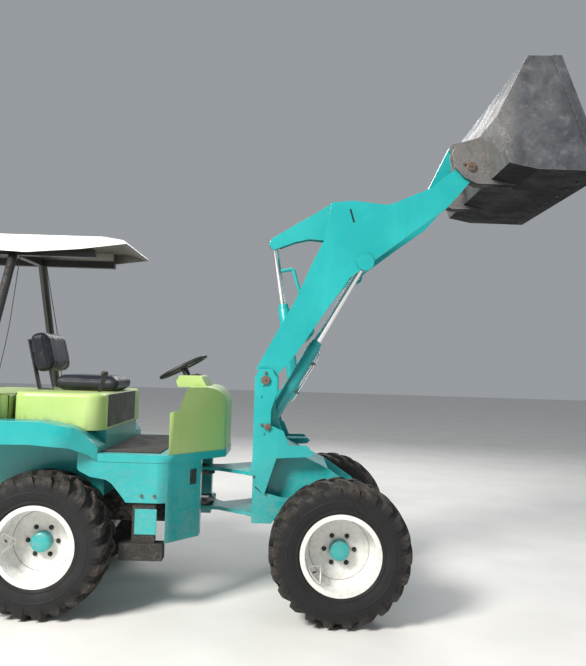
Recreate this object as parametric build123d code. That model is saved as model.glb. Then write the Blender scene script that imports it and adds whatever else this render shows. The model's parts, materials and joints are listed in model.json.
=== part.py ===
"""Compact articulated wheel loader with a canopy, its bucket raised level.

Millimetres. +X is forward, +Y is left, +Z is up. The origin lies on the ground under the
articulation pin, which is also the middle of the wheelbase.
"""
from build123d import *
from math import atan2, cos, degrees, hypot, pi, radians, sin
import os

# Wheels and track
WHEELBASE = 1860.0
TRACK = 1300.0
TYRE_OD = 890.0
TYRE_WIDTH = 330.0
BEAD_H = 45.0
WALL_R = 350.0
LUG_COUNT = 22
RIM_FLANGE_D = 501.0
RIM_SEAT_D = 457.0
RIM_WIDTH = 292.0
RIM_WALL = 8.0
DISC_INSET = 180.0
DISC_FLAT_R = 190.0
DISC_T = 10.0
HUB_PILOT_R = 62.0
HUB_CAP_REACH = 55.0
HUB_FLANGE_R = 120.0
STUD_PCD = 190.0
STUD_HOLE_R = 15.0
STUD_COUNT = 6
SPINDLE_R = 40.0
AXLE_TUBE_R = 55.0
DIFF_R = 135.0
AXLE_FLANGE_R = 90.0

# Clearances and common plates
FIT = 0.3
RUN = 7.0
PLATE = 18.0

# Boom, pins (X, Z) in the raised pose
ARM_OUT = 400.0
ARM_T = 50.0
FOOT = (428.0, 1488.0)
BUCKET_PIN = (1767.0, 2965.0)
CRANK_PIN = (925.0, 2620.0)
ROD_PIN = (451.0, 2464.0)
LINK_LOW_PIN = (1550.0, 2785.0)
LINK_TOP_PIN = (1745.0, 3205.0)
TILT_BASE = (625.0, 1420.0)
TILT_GLAND_Z = 2000.0
LIFT_EYE = (1073.0, 2301.0)
LIFT_BASE = (450.0, 1180.0)
LIFT_GLAND = 626.0
LIFT_Y = 262.0
BARREL_R = 42.0
BARREL_BORE_R = 34.0
ROD_R = 22.0
EYE_R = 44.0
PIN_R = 22.0
BIG_PIN_R = 30.0
COLLAR_R = 48.0
COLLAR_T = 14.0
CRANK_PIN_R = 34.0
CRANK_CAP_R = 60.0
LINK_PIN_R = 26.0
LINK_CAP_R = 56.0
CAP_T = 16.0
CAP_GAP = 1.0
FOOT_BOSS_R = 74.0
LOW_TUBE = (690.0, 1830.0)
LOW_TUBE_R = 50.0
FRONT_TUBE = (1150.0, 2400.0)
FRONT_TUBE_R = 42.0
CRANK_TUBE = (925.0, 2430.0)
CRANK_TUBE_R = 60.0
CRANK_CHEEK_IN = 30.0
CRANK_CHEEK_T = 18.0
EYE_HALF = 24.0

# Bucket
BUCKET_WIDTH = 1650.0
BUCKET_WALL = 12.0
BUCKET_FLOOR_Z = 2850.0
EDGE_TIP_X = 2532.0
EDGE_BACK_X = 2400.0
EDGE_T = 18.0
BAND_T = 8.0

# Front frame
HINGE_TOP_Z = 832.0
HINGE_LOW_Z = 560.0
HINGE_T = 24.0
HINGE_R = 75.0
HINGE_PIN_R = 28.0
BULKHEAD_X = 361.0
BULKHEAD_T = 20.0
FRONT_FLOOR_Z = 543.0
CHASSIS_Y = 290.0
DECK_Z = 1043.0
LUG_TUBE = (440.0, 1300.0)
LUG_TUBE_R = 50.0

# Rear frame and body
RAIL_Y = 300.0
RAIL_Z0 = 520.0
RAIL_Z1 = 700.0
RAIL_REAR_X = -1640.0
COUNTERWEIGHT_L = 140.0
COUNTERWEIGHT_TOP_Z = 900.0
DRAWBAR_PIN_R = 16.0
HEAD_X = -190.0
FLOOR_Z = 1000.0
FLOOR_T = 15.0
RIM_DEPTH = 50.0
BODY_HALF = 650.0
BODY_CORNER_R = 120.0
WEDGE_X0 = -170.0
WEDGE_X1 = 165.0
WEDGE_HALF = 220.0
NOSE_R = 60.0
COLUMN_X = 17.0
COLUMN_Z = 450.0
SKIRT_INSET = 4.0
FENDER_HALF = 780.0
FENDER_IN = 450.0
FENDER_TOP_Z = 1198.0
FLOOR_REAR_X = -606.0
BODY_REAR_X = -760.0
STEP_IN = 95.0
STEER_BASE = (-520.0, 170.0)
STEER_EYE = (40.0, 180.0)
STEER_Z = 608.0
STEER_BARREL_R = 30.0
STEER_ROD_R = 14.0
STEER_BARREL_L = 330.0
STEER_PIN_R = 14.0

# Length of each rod inside its barrel
LIFT_INSERT = 95.0
TILT_INSERT = 300.0
STEER_INSERT = 145.0

# Cab side of the machine
COWL_INSET = 5.0
COWL_T = 20.0
COWL_TOP_Z = 1427.0
COWL_BROW_R = 140.0
POD_HALF = 200.0
SEAT_COVER_HALF = 600.0
SEAT_COVER_Z0 = 1136.0
SEAT_COVER_Z1 = 1372.0
SEAT_COVER_X0 = -1190.0
SEAT_COVER_X1 = -600.0
HOOD_REAR_X = -1690.0
HOOD_GAP = 10.0
POST_X = -1339.0
POST_R = 30.0
POST_FOOT_Y = 740.0
POST_KNEE_Z = 1372.0
POST_HEAD_HALF = 277.0
POST_HEAD_Z = 2315.0
ROOF_HALF = 385.0
ROOF_FRONT_X = -540.0
ROOF_REAR_X = -1800.0
ROOF_TOP_Z = 2420.0

COLUMN_TOP = (-178.0, 0.0, 1546.0)
COLUMN_LENGTH = 245.0
COLUMN_TILT = 28.0
COLUMN_R = 24.0
COLUMN_FOOT = (
    COLUMN_TOP[0] + COLUMN_LENGTH * sin(radians(COLUMN_TILT)), 0.0,
    COLUMN_TOP[2] - COLUMN_LENGTH * cos(radians(COLUMN_TILT)),
)
WHEEL_HUB_H = 22.0

SEAT_BACK_T = 140.0
SEAT_BACK_PLACE = Pos(-1146, 0, 1632) * Rot(0, -14, 0)

WHEEL_Z = TYRE_OD / 2
AXLE_X = WHEELBASE / 2
WHEEL_Y = TRACK / 2


def face_of(points):
    """A flat face from its corners. A corner's third value is the radius that rounds it."""
    face = make_face(Polyline(*[point[:2] for point in points], close=True))
    for point in points:
        if len(point) == 3:
            corner = face.vertices().sort_by_distance((point[0], point[1], 0))[0]
            face = fillet(corner, point[2])
    return face


def slab_y(points, y0, y1):
    """A plate with an outline in X and Z, from y0 to y1."""
    plane = Plane(origin=(0, y1, 0), x_dir=(1, 0, 0), z_dir=(0, -1, 0))
    return extrude(plane * face_of(points), y1 - y0)


def slab_z(points, z0, z1):
    """A plate with an outline in X and Y, from z0 to z1."""
    return extrude(Pos(0, 0, z0) * face_of(points), z1 - z0)


def box(x0, x1, y0, y1, z0, z1):
    """A block between two corners."""
    return Pos((x0 + x1) / 2, (y0 + y1) / 2, (z0 + z1) / 2) * Box(x1 - x0, y1 - y0, z1 - z0)


def pin_y(at, radius, y0, y1):
    """A round bar along Y through the point (X, Z)."""
    return Pos(at[0], (y0 + y1) / 2, at[1]) * Rot(90, 0, 0) * Cylinder(radius, y1 - y0)


def pin_z(x, y, radius, z0, z1):
    """An upright round bar."""
    return Pos(x, y, (z0 + z1) / 2) * Cylinder(radius, z1 - z0)


def bar(start, end, radius):
    """A round bar between two points in space."""
    line = Line(start, end)
    return extrude(Plane(origin=start, z_dir=line.tangent_at(0)) * Circle(radius), line.length)


def link_y(a, b, radius_a, radius_b, y0, y1):
    """A plate with a round end about each of two (X, Z) points."""
    dx = b[0] - a[0]
    dz = b[1] - a[1]
    length = hypot(dx, dz)
    turn = degrees(atan2(dz, dx))
    swing = degrees(atan2(radius_a - radius_b, length))
    corners = []
    for centre, radius, side in ((a, radius_a, 1), (b, radius_b, 1), (b, radius_b, -1), (a, radius_a, -1)):
        angle = radians(turn + side * (90 - swing))
        corners.append((centre[0] + radius * cos(angle), centre[1] + radius * sin(angle)))
    plate = slab_y(corners, y0, y1)
    return plate + pin_y(a, radius_a, y0, y1) + pin_y(b, radius_b, y0, y1)


def both(solid):
    """A right-hand piece and its left-hand mirror image."""
    return [solid, mirror(solid, Plane.XZ)]


def fuse(pieces):
    """One shape from touching or overlapping pieces."""
    whole = pieces[0]
    for piece in pieces[1:]:
        whole = whole + piece
    return whole.clean()


def save(name, shape):
    """Write one node."""
    solids = shape.solids()
    body = solids[0] if len(solids) == 1 else Compound(children=list(solids))
    body.label = name
    export_step(body, os.path.join("parts", name + ".step"))


# Wheels

# Each row: distance from the tyre's middle, groove radius, lug radius, turn back in degrees,
# and half the width of the lug's top.
LUG_ROWS = [
    (8, TYRE_OD / 2 - 28, TYRE_OD / 2, -1.4, 16),
    (90, TYRE_OD / 2 - 32, TYRE_OD / 2 - 3.5, 6.2, 18),
    (TYRE_WIDTH / 2 - 7, TYRE_OD / 2 - 60, TYRE_OD / 2 - 26, 11, 23),
]

def revolve_wheel(profile):
    """A ring about the wheel's own axis, from (radius, outboard) points, as a left wheel at the origin."""
    plane = Plane(origin=(0, 0, 0), x_dir=(0, 0, 1), z_dir=(-1, 0, 0))
    face = plane * make_face(Polyline(*profile, close=True))
    return revolve(face, Axis.Y, 360)


def wheel_ring(radius, outboard, turn, count):
    """Points evenly round the wheel's own axis, the first of them turned from straight down."""
    ring = []
    for number in range(count):
        angle = radians(turn - 90 + 360 * number / count)
        ring.append((radius * cos(angle), outboard, radius * sin(angle)))
    return ring


def strip(first, second):
    """Flat facets between two rings with the same number of points."""
    count = len(first)
    facets = []
    for a in range(count):
        b = (a + 1) % count
        facets.append([first[a], first[b], second[b]])
        facets.append([first[a], second[b], second[a]])
    return facets


def lug_facets(bases, tops):
    """One lug's facets, from the base and top points on its two edges, listed from the crown to its foot."""
    facets = [[bases[0][0], bases[0][1], tops[0][1]], [bases[0][0], tops[0][1], tops[0][0]]]
    for row in range(len(tops) - 1):
        top = strip(tops[row], tops[row + 1])[:2]
        facets += top
        for edge in (0, 1):
            facets.append([bases[row][edge], bases[row + 1][edge], tops[row + 1][edge]])
            facets.append([bases[row][edge], tops[row + 1][edge], tops[row][edge]])
    foot = bases[-1]
    for edge in (0, 1):
        facets.append([bases[-2][edge], foot[edge], tops[-1][edge]])
    return facets + [[tops[-1][0], tops[-1][1], foot[1]], [tops[-1][0], foot[1], foot[0]]]


def tyre_half(side):
    """One half of the tyre's facets: side wall, grooves and the lugs that lean back from the crown."""
    pitch = 360 / LUG_COUNT
    crown = LUG_ROWS[0]
    phase = crown[3] + degrees(crown[4] / crown[2])
    if side < 0:
        phase += pitch / 2
    bases = [wheel_ring(row[1], side * row[0], phase - row[3] - pitch / 4, 2 * LUG_COUNT) for row in LUG_ROWS]
    wall_turn = phase - LUG_ROWS[-1][3] - pitch / 4
    bases.append(wheel_ring(WALL_R, side * TYRE_WIDTH / 2, wall_turn, 2 * LUG_COUNT))
    flange = side * (RIM_WIDTH / 2 - RIM_WALL - FIT)
    bead = wheel_ring(RIM_SEAT_D / 2 + BEAD_H, flange, wall_turn, 2 * LUG_COUNT)
    facets = strip(bases[-1], bead)
    for lug in range(LUG_COUNT):
        left, right, after = 2 * lug, 2 * lug + 1, (2 * lug + 2) % (2 * LUG_COUNT)
        tops = []
        for outboard, _, radius, turn, half in LUG_ROWS:
            spread = degrees(half / radius)
            centre = phase - turn + pitch * lug
            tops.append([wheel_ring(radius, side * outboard, centre + way * spread, 1)[0] for way in (-1, 1)])
        facets += lug_facets([(ring[left], ring[right]) for ring in bases], tops)
        for row in range(len(bases) - 1):
            inner = [bases[row][right], bases[row][after]]
            outer = [bases[row + 1][right], bases[row + 1][after]]
            facets += strip(inner, outer)[:2]
    return facets, bases[0], bead, flange, wall_turn


def tyre():
    """Tyre with two staggered rows of lugs, in flat facets so that the four of them stay light."""
    facets = []
    edges = []
    seat = (RIM_SEAT_D / 2 + FIT) / cos(pi / LUG_COUNT)
    for side in (1, -1):
        half, crown, bead, flange, turn = tyre_half(side)
        bore = wheel_ring(seat, flange, turn - (180 / LUG_COUNT if side < 0 else 0), LUG_COUNT)
        facets += half
        edges.append((crown, bore))
        shift = 0 if side > 0 else -1
        for a in range(LUG_COUNT):
            b = (a + 1) % LUG_COUNT
            near = (2 * a + shift) % (2 * LUG_COUNT)
            middle = (near + 1) % (2 * LUG_COUNT)
            far = (near + 2) % (2 * LUG_COUNT)
            facets.append([bore[a], bead[near], bead[middle], bead[far], bore[b]])
    (crown, bore), (other_crown, other_bore) = edges
    facets += strip(crown, other_crown[-1:] + other_crown[:-1])
    facets += strip(bore, other_bore)
    return Solid(Shell([Face(Wire.make_polygon(facet)) for facet in facets]))


def rim():
    """Flanged rim with its dished disc, studded holes and centre bore, outboard towards +Y."""
    half = RIM_WIDTH / 2
    seat = RIM_SEAT_D / 2
    lip = RIM_FLANGE_D / 2
    disc_y = half - DISC_INSET
    barrel = [
        (lip, -half), (lip, -half + RIM_WALL), (seat, -half + RIM_WALL), (seat, half - RIM_WALL),
        (lip, half - RIM_WALL), (lip, half), (seat - RIM_WALL, half), (seat - RIM_WALL, -half),
    ]
    dish = [
        (HUB_PILOT_R, disc_y - DISC_T), (HUB_PILOT_R, disc_y), (DISC_FLAT_R, disc_y),
        (seat - RIM_WALL + 1, disc_y + 26), (seat - RIM_WALL + 1, disc_y + 10),
        (DISC_FLAT_R + 4, disc_y - DISC_T),
    ]
    shape = revolve_wheel(barrel) + revolve_wheel(dish)
    for spot in PolarLocations(STUD_PCD / 2, STUD_COUNT):
        spoke = Pos(0, disc_y, 0) * Rot(90, 0, 0) * spot * Cylinder(STUD_HOLE_R, 60)
        shape = shape - spoke
    return shape


def hub():
    """Hub drum behind the disc, with the cap that stands through the rim's bore."""
    disc_y = RIM_WIDTH / 2 - DISC_INSET
    back_y = disc_y - DISC_T - FIT
    inner_y = -TYRE_WIDTH / 2 + 50
    flange = Pos(0, (back_y + back_y - 20) / 2, 0) * Rot(90, 0, 0) * Cylinder(HUB_FLANGE_R, 20)
    drum = Pos(0, (back_y + inner_y) / 2, 0) * Rot(90, 0, 0) * Cylinder(78, back_y - inner_y)
    cap_r = HUB_PILOT_R - FIT
    cap_y = disc_y + HUB_CAP_REACH
    cap = Pos(0, (back_y + cap_y) / 2, 0) * Rot(90, 0, 0) * Cylinder(cap_r, cap_y - back_y)
    bore_end = back_y - 6
    bore = Cylinder(SPINDLE_R + FIT, bore_end - inner_y + 5)
    bore = Pos(0, (inner_y - 5 + bore_end) / 2, 0) * Rot(90, 0, 0) * bore
    return flange + drum + cap - bore


def at_wheel(shape, x, side):
    """Move a left wheel's piece to its axle end, mirrored for the right side."""
    if side < 0:
        shape = mirror(shape, Plane.XZ)
    return Pos(x, side * WHEEL_Y, WHEEL_Z) * shape


def axle(x, frame_z, pad_y):
    """Banjo axle with flanged ends, spindles and the pads that carry the frame."""
    tube_end = WHEEL_Y - TYRE_WIDTH / 2 + 34
    spindle_end = WHEEL_Y + RIM_WIDTH / 2 - DISC_INSET - DISC_T - 12
    at = (x, WHEEL_Z)
    pieces = [
        pin_y(at, AXLE_TUBE_R, -tube_end, tube_end),
        Pos(x, 0, WHEEL_Z) * Sphere(DIFF_R),
    ]
    for side in (-1, 1):
        y0, y1 = sorted((side * (tube_end - 24), side * tube_end))
        pieces.append(pin_y(at, AXLE_FLANGE_R, y0, y1))
        y0, y1 = sorted((side * (tube_end - 5), side * spindle_end))
        pieces.append(pin_y(at, SPINDLE_R, y0, y1))
        y0, y1 = sorted((side * (pad_y - 45), side * (pad_y + 45)))
        pieces.append(box(x - 80, x + 80, y0, y1, WHEEL_Z, frame_z))
    return fuse(pieces)


# Boom and linkage

ARM_OUTLINE = [
    (495, 1517), (631, 1676), (845, 2007), (975, 2195), (1135, 2316), (1410, 2531), (1615, 2685),
    (1705, 2790), (1820, 2935), (1800, 3010), (1740, 3020), (1690, 2975), (1499, 2816), (1364, 2757),
    (1228, 2694), (980, 2716), (836, 2700), (792, 2442), (708, 2265), (611, 2034), (359, 1559),
]


def boom():
    """Two plate arms joined by three cross tubes, with the crank's lugs and the lift pins."""
    inner = ARM_OUT - ARM_T
    pieces = []
    for side in (-1, 1):
        y0, y1 = sorted((side * inner, side * ARM_OUT))
        arm = slab_y(ARM_OUTLINE, y0, y1) + pin_y(FOOT, FOOT_BOSS_R, y0, y1)
        arm = arm - pin_y(FOOT, BIG_PIN_R + FIT, y0 - 1, y1 + 1)
        arm = arm - pin_y(BUCKET_PIN, BIG_PIN_R + FIT, y0 - 1, y1 + 1)
        pieces.append(arm)
        y0, y1 = sorted((side * inner, side * (ARM_OUT + 12)))
        pieces.append(pin_y(LIFT_EYE, 58, y0, y1))
        y0, y1 = sorted((side * (LIFT_Y + BARREL_R + RUN), side * inner))
        pieces.append(pin_y(LIFT_EYE, 40, y0, y1))
        y0, y1 = sorted((side * (LIFT_Y - BARREL_R - RUN - PLATE), side * (LIFT_Y - BARREL_R - RUN)))
        pieces.append(link_y(LIFT_EYE, FRONT_TUBE, EYE_R, FRONT_TUBE_R, y0, y1))
        lug_in = CRANK_CHEEK_IN + CRANK_CHEEK_T + RUN
        y0, y1 = sorted((side * lug_in, side * (lug_in + PLATE)))
        lug = link_y(CRANK_TUBE, CRANK_PIN, CRANK_TUBE_R, CRANK_CAP_R, y0, y1)
        pieces.append(lug - pin_y(CRANK_PIN, CRANK_PIN_R + FIT, y0 - 1, y1 + 1))
    for at, radius in ((LOW_TUBE, LOW_TUBE_R), (FRONT_TUBE, FRONT_TUBE_R), (CRANK_TUBE, CRANK_TUBE_R)):
        pieces.append(pin_y(at, radius, -inner - 5, inner + 5))
    return fuse(pieces)


def bucket_pins():
    """Nose pins with inner collars, each through an arm and the bucket ears on both sides of it."""
    ear_in = ARM_OUT - ARM_T - RUN - PLATE
    pin = pin_y(BUCKET_PIN, BIG_PIN_R, ear_in - CAP_GAP - COLLAR_T, ARM_OUT + RUN + PLATE + 13)
    collar = pin_y(BUCKET_PIN, COLLAR_R, ear_in - CAP_GAP - COLLAR_T, ear_in - CAP_GAP)
    return Compound(children=both(pin + collar))


def capped_pin(at, radius, cap_radius, half):
    """A pin along Y with a round cap beyond each end of what it goes through."""
    pin = pin_y(at, radius, -half - CAP_T, half + CAP_T)
    return pin + pin_y(at, cap_radius, half, half + CAP_T) + pin_y(at, cap_radius, -half - CAP_T, -half)


def crank_pin():
    lug_out = CRANK_CHEEK_IN + CRANK_CHEEK_T + RUN + PLATE
    return capped_pin(CRANK_PIN, CRANK_PIN_R, CRANK_CAP_R, lug_out + CAP_GAP)


CRANK_OUTLINE = [
    (440, 2422), (601, 2487), (700, 2510), (860, 2500), (1000, 2560), (1300, 2655), (1562, 2740),
    (1592, 2785), (1550, 2832), (1300, 2790), (1080, 2745), (930, 2780), (857, 2778), (760, 2712),
    (597, 2612), (428, 2506), (408, 2464),
]


def bell_crank():
    """Two cheeks with a spacer round the pivot and a web between them, open as a fork at both ends."""
    outer = CRANK_CHEEK_IN + CRANK_CHEEK_T
    pieces = []
    for side in (-1, 1):
        y0, y1 = sorted((side * CRANK_CHEEK_IN, side * outer))
        pieces.append(slab_y(CRANK_OUTLINE, y0, y1))
    web = [
        (700, 2560), (1000, 2600), (1300, 2690), (1300, 2750),
        (1060, 2705), (930, 2735), (860, 2735), (700, 2620),
    ]
    pieces.append(slab_y(web, -CRANK_CHEEK_IN - 1, CRANK_CHEEK_IN + 1))
    shape = fuse(pieces)
    shape = shape - pin_y(CRANK_PIN, CRANK_PIN_R + FIT, -outer - 1, outer + 1)
    return shape - pin_y(LINK_LOW_PIN, LINK_PIN_R, -outer - 1, outer + 1)


def link_pin():
    return capped_pin(LINK_LOW_PIN, LINK_PIN_R, LINK_CAP_R, CRANK_CHEEK_IN + CRANK_CHEEK_T + CAP_GAP)


def tilt_link():
    """Flat link from the crank's front fork to the bucket's centre ears, with its own short top pin."""
    plate = link_y(LINK_LOW_PIN, LINK_TOP_PIN, EYE_R, EYE_R - 4, -EYE_HALF, EYE_HALF)
    return plate - pin_y(LINK_LOW_PIN, LINK_PIN_R + FIT, -EYE_HALF - 1, EYE_HALF + 1)


def cylinder_pair(base, eye, gland, insert, y, eye_half):
    """Barrel and rod of a cylinder along a line in X and Z at one y, as (barrel, rod)."""
    length = hypot(eye[0] - base[0], eye[1] - base[1])
    ux = (eye[0] - base[0]) / length
    uz = (eye[1] - base[1]) / length

    def along(distance):
        return (base[0] + ux * distance, y, base[1] + uz * distance)

    barrel = bar(along(EYE_R - 16), along(gland), BARREL_R)
    barrel = barrel + bar(along(gland - 1), along(gland + 34), BARREL_R - 6)
    barrel = barrel - bar(along(EYE_R + 40), along(gland - 20), BARREL_BORE_R)
    barrel = barrel - bar(along(gland - 25), along(gland + 40), ROD_R + FIT)
    barrel = barrel + pin_y(base, EYE_R, y - BARREL_R + 5, y + BARREL_R - 5)
    barrel = barrel - pin_y(base, PIN_R + FIT, y - BARREL_R - 1, y + BARREL_R + 1)
    rod = bar(along(gland - insert), along(length - EYE_R + 8), ROD_R)
    rod = rod + pin_y(eye, EYE_R, y - eye_half, y + eye_half)
    return barrel, rod


def tilt_gland():
    """Distance from the tilt cylinder's base pin to its gland."""
    share = (TILT_GLAND_Z - TILT_BASE[1]) / (ROD_PIN[1] - TILT_BASE[1])
    return share * hypot(ROD_PIN[0] - TILT_BASE[0], ROD_PIN[1] - TILT_BASE[1])


# Bucket

BUCKET_OUTLINE = [
    (1873, 2975), (1905, 2885), (2087, BUCKET_FLOOR_Z), (2515, BUCKET_FLOOR_Z),
    (2385, 3153), (2219, 3571), (2009, 3566), (1820, 3172),
]
BAND_OUTLINE = [
    (2515, BUCKET_FLOOR_Z), (2385, 3153), (2219, 3571), (2160, 3571), (2328, 3145), (2440, BUCKET_FLOOR_Z),
]
ARM_EAR_OUTLINE = [
    (1640, 3055, 20), (1661, 2961), (1724, 2892, 60), (1812, 2853), (2085, 2851), (1910, 2890),
    (1878, 2978), (1827, 3172), (1668, 3120, 30),
]
LINK_EAR_OUTLINE = [(1705, 3205), (1745, 3245), (1872, 3276), (1827, 3172), (1862, 3040), (1790, 3090)]


def bucket():
    """Open shell with side plates, stiffened side edges and six ears on its back."""
    half = BUCKET_WIDTH / 2 - BAND_T
    shell = slab_y(BUCKET_OUTLINE, -half, half)
    outer_face = make_face(Polyline(*BUCKET_OUTLINE, close=True))
    inner_face = offset(outer_face, -BUCKET_WALL, kind=Kind.INTERSECTION)
    plane = Plane(origin=(0, half - BUCKET_WALL, 0), x_dir=(1, 0, 0), z_dir=(0, -1, 0))
    room = extrude(plane * inner_face, 2 * (half - BUCKET_WALL))
    shell = shell - room - Pos(70, 0, 0) * room
    pieces = [shell]
    for side in (-1, 1):
        y0, y1 = sorted((side * half, side * (half + BAND_T)))
        pieces.append(slab_y(BAND_OUTLINE, y0, y1))
        for near in (ARM_OUT + RUN, ARM_OUT - ARM_T - RUN - PLATE):
            y0, y1 = sorted((side * near, side * (near + PLATE)))
            pieces.append(slab_y(ARM_EAR_OUTLINE, y0, y1) - pin_y(BUCKET_PIN, BIG_PIN_R, y0 - 1, y1 + 1))
        y0, y1 = sorted((side * (EYE_HALF + RUN), side * (EYE_HALF + RUN + PLATE)))
        pieces.append(slab_y(LINK_EAR_OUTLINE, y0, y1) + pin_y(LINK_TOP_PIN, EYE_R - 4, y0, y1))
    low, high = BUCKET_FLOOR_Z - 20, BUCKET_FLOOR_Z + EDGE_T
    under_edge = box(EDGE_BACK_X, EDGE_TIP_X + PLATE, -BUCKET_WIDTH, BUCKET_WIDTH, low, high)
    return fuse(pieces) - under_edge


def cutting_edge():
    """Bevelled blade that carries on the bucket's floor."""
    low = BUCKET_FLOOR_Z
    top = BUCKET_FLOOR_Z + EDGE_T
    profile = [
        (EDGE_BACK_X, low), (EDGE_TIP_X, low), (EDGE_TIP_X, low + 4),
        (EDGE_TIP_X - 40, top), (EDGE_BACK_X, top),
    ]
    return slab_y(profile, -BUCKET_WIDTH / 2, BUCKET_WIDTH / 2)


# Front frame

TOWER_OUTLINE = [
    (324, 858), (345, 900), (357, 956), (357, 1505), (385, 1562), (470, 1562), (503, 1500), (503, 1397),
    (470, 1290), (470, 1190), (556, 1154), (596, 1060), (712, 1063), (762, 1013), (740, 990), (515, 974),
    (441, 735), (BULKHEAD_X + BULKHEAD_T, 790), (BULKHEAD_X + BULKHEAD_T, 858),
]
INNER_TOWER_OUTLINE = [
    (381, DECK_Z), (381, 1500), (405, 1555), (460, 1555), (500, 1500), (500, 1300),
    (545, 1150), (545, DECK_Z),
]
CHASSIS_OUTLINE = [
    (370, FRONT_FLOOR_Z), (1090, FRONT_FLOOR_Z), (1130, 590), (1130, 690), (1080, 760), (864, 902),
    (560, DECK_Z), (370, DECK_Z),
]
LIFT_LUG_OUTLINE = [(385, DECK_Z), (520, DECK_Z), (494, 1180), (490, 1310), (400, 1310)]
GUSSET_OUTLINE = [
    (BULKHEAD_X + 10, FRONT_FLOOR_Z), (493, FRONT_FLOOR_Z), (607, 714), (555, 716),
    (414, 750), (BULKHEAD_X + 10, 782),
]


def boom_tower():
    """Tower plates on both sides of each arm, and the cylinders' lugs on their cross tube."""
    outer = ARM_OUT + RUN
    inner = ARM_OUT - ARM_T - RUN
    lug_out = LIFT_Y - BARREL_R - RUN
    pieces = [pin_y(LUG_TUBE, LUG_TUBE_R, 3 - lug_out, lug_out - 3)]
    for side in (-1, 1):
        y0, y1 = sorted((side * outer, side * (outer + PLATE + 2)))
        plate = slab_y(TOWER_OUTLINE, y0, y1) - pin_y(FOOT, BIG_PIN_R, y0 - 1, y1 + 1)
        pieces.append(plate - pin_y(LIFT_BASE, PIN_R, y0 - 1, y1 + 1))
        y0, y1 = sorted((side * (inner - PLATE), side * inner))
        plate = slab_y(INNER_TOWER_OUTLINE, y0, y1) - pin_y(FOOT, BIG_PIN_R, y0 - 1, y1 + 1)
        pieces.append(plate - pin_y(LIFT_BASE, PIN_R, y0 - 1, y1 + 1))
        y0, y1 = sorted((side * (lug_out - PLATE), side * lug_out))
        lug = slab_y(LIFT_LUG_OUTLINE, y0, y1)
        pieces.append(lug + pin_y(LIFT_BASE, EYE_R, y0, y1) - pin_y(LIFT_BASE, PIN_R, y0 - 1, y1 + 1))
        y0, y1 = sorted((side * (BARREL_R + RUN), side * (BARREL_R + RUN + PLATE)))
        lug = link_y(LUG_TUBE, TILT_BASE, 62, EYE_R, y0, y1)
        pieces.append(lug - pin_y(TILT_BASE, PIN_R, y0 - 1, y1 + 1))
    return fuse(pieces)


def front_frame():
    """Chassis box, bulkhead, deck and hinge plates in front of the articulation."""
    outer = ARM_OUT + RUN
    barrel_out = LIFT_Y + BARREL_R + RUN
    pieces = [
        box(BULKHEAD_X, BULKHEAD_X + BULKHEAD_T, -outer, outer, FRONT_FLOOR_Z, DECK_Z),
        box(BULKHEAD_X, BULKHEAD_X + 12, -outer, outer, DECK_Z - 5, 1230),
        box(BULKHEAD_X, 560, -outer, outer, DECK_Z - 12, DECK_Z),
        slab_y([(556, DECK_Z), (556, DECK_Z - 14), (864, 888), (864, 902)], -CHASSIS_Y - 2, CHASSIS_Y + 2),
        box(BULKHEAD_X, 1090, -CHASSIS_Y - 2, CHASSIS_Y + 2, FRONT_FLOOR_Z, FRONT_FLOOR_Z + 12),
        box(BULKHEAD_X, 493, -outer, outer, FRONT_FLOOR_Z, FRONT_FLOOR_Z + 12),
        box(1112, 1130, -CHASSIS_Y - 2, CHASSIS_Y + 2, 590, 690),
    ]
    for side in (-1, 1):
        y0, y1 = sorted((side * CHASSIS_Y, side * (CHASSIS_Y + PLATE)))
        pieces.append(slab_y(CHASSIS_OUTLINE, y0, y1))
        y0, y1 = sorted((side * (outer - PLATE), side * outer))
        pieces.append(slab_y(GUSSET_OUTLINE, y0, y1))
        y0, y1 = sorted((side * barrel_out, side * outer))
        pieces.append(box(555, 735, y0, y1, DECK_Z - 12, DECK_Z))
    tongue = [
        (BULKHEAD_X + 2, 300), (300, 230), (120, 95), (0, HINGE_R),
        (0, -HINGE_R), (120, -95), (300, -230), (BULKHEAD_X + 2, -300),
    ]
    for low in (HINGE_TOP_Z, HINGE_LOW_Z):
        plate = slab_z(tongue, low, low + HINGE_T) + pin_z(0, 0, HINGE_R, low, low + HINGE_T)
        if low == HINGE_LOW_Z:
            horn = [(140, 90), (STEER_EYE[0] + 34, STEER_EYE[1]), (STEER_EYE[0] - 34, STEER_EYE[1]), (10, 60)]
            plate = plate + slab_z(horn, low, low + HINGE_T) + pin_z(*STEER_EYE, 34, low, low + HINGE_T)
        pieces.append(plate - pin_z(0, 0, HINGE_PIN_R + FIT, low - 1, low + HINGE_T + 1))
    diff_well = box(AXLE_X - 150, AXLE_X + 150, -160, 160, FRONT_FLOOR_Z - 5, FRONT_FLOOR_Z + 15)
    return fuse(pieces) - diff_well - boom_tower()


def front_frame_pins():
    """Boom foot pins, lift cylinder base pins and the tilt cylinder's base pin."""
    outer = ARM_OUT + RUN + PLATE + 12
    foot = both(pin_y(FOOT, BIG_PIN_R, ARM_OUT - ARM_T - RUN - PLATE - 8, outer))
    lift = both(pin_y(LIFT_BASE, PIN_R, LIFT_Y - BARREL_R - RUN - PLATE - 8, outer))
    half = BARREL_R + RUN + PLATE + 8
    return Compound(children=foot + lift + [pin_y(TILT_BASE, PIN_R, -half, half)])


# Rear frame

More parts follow.
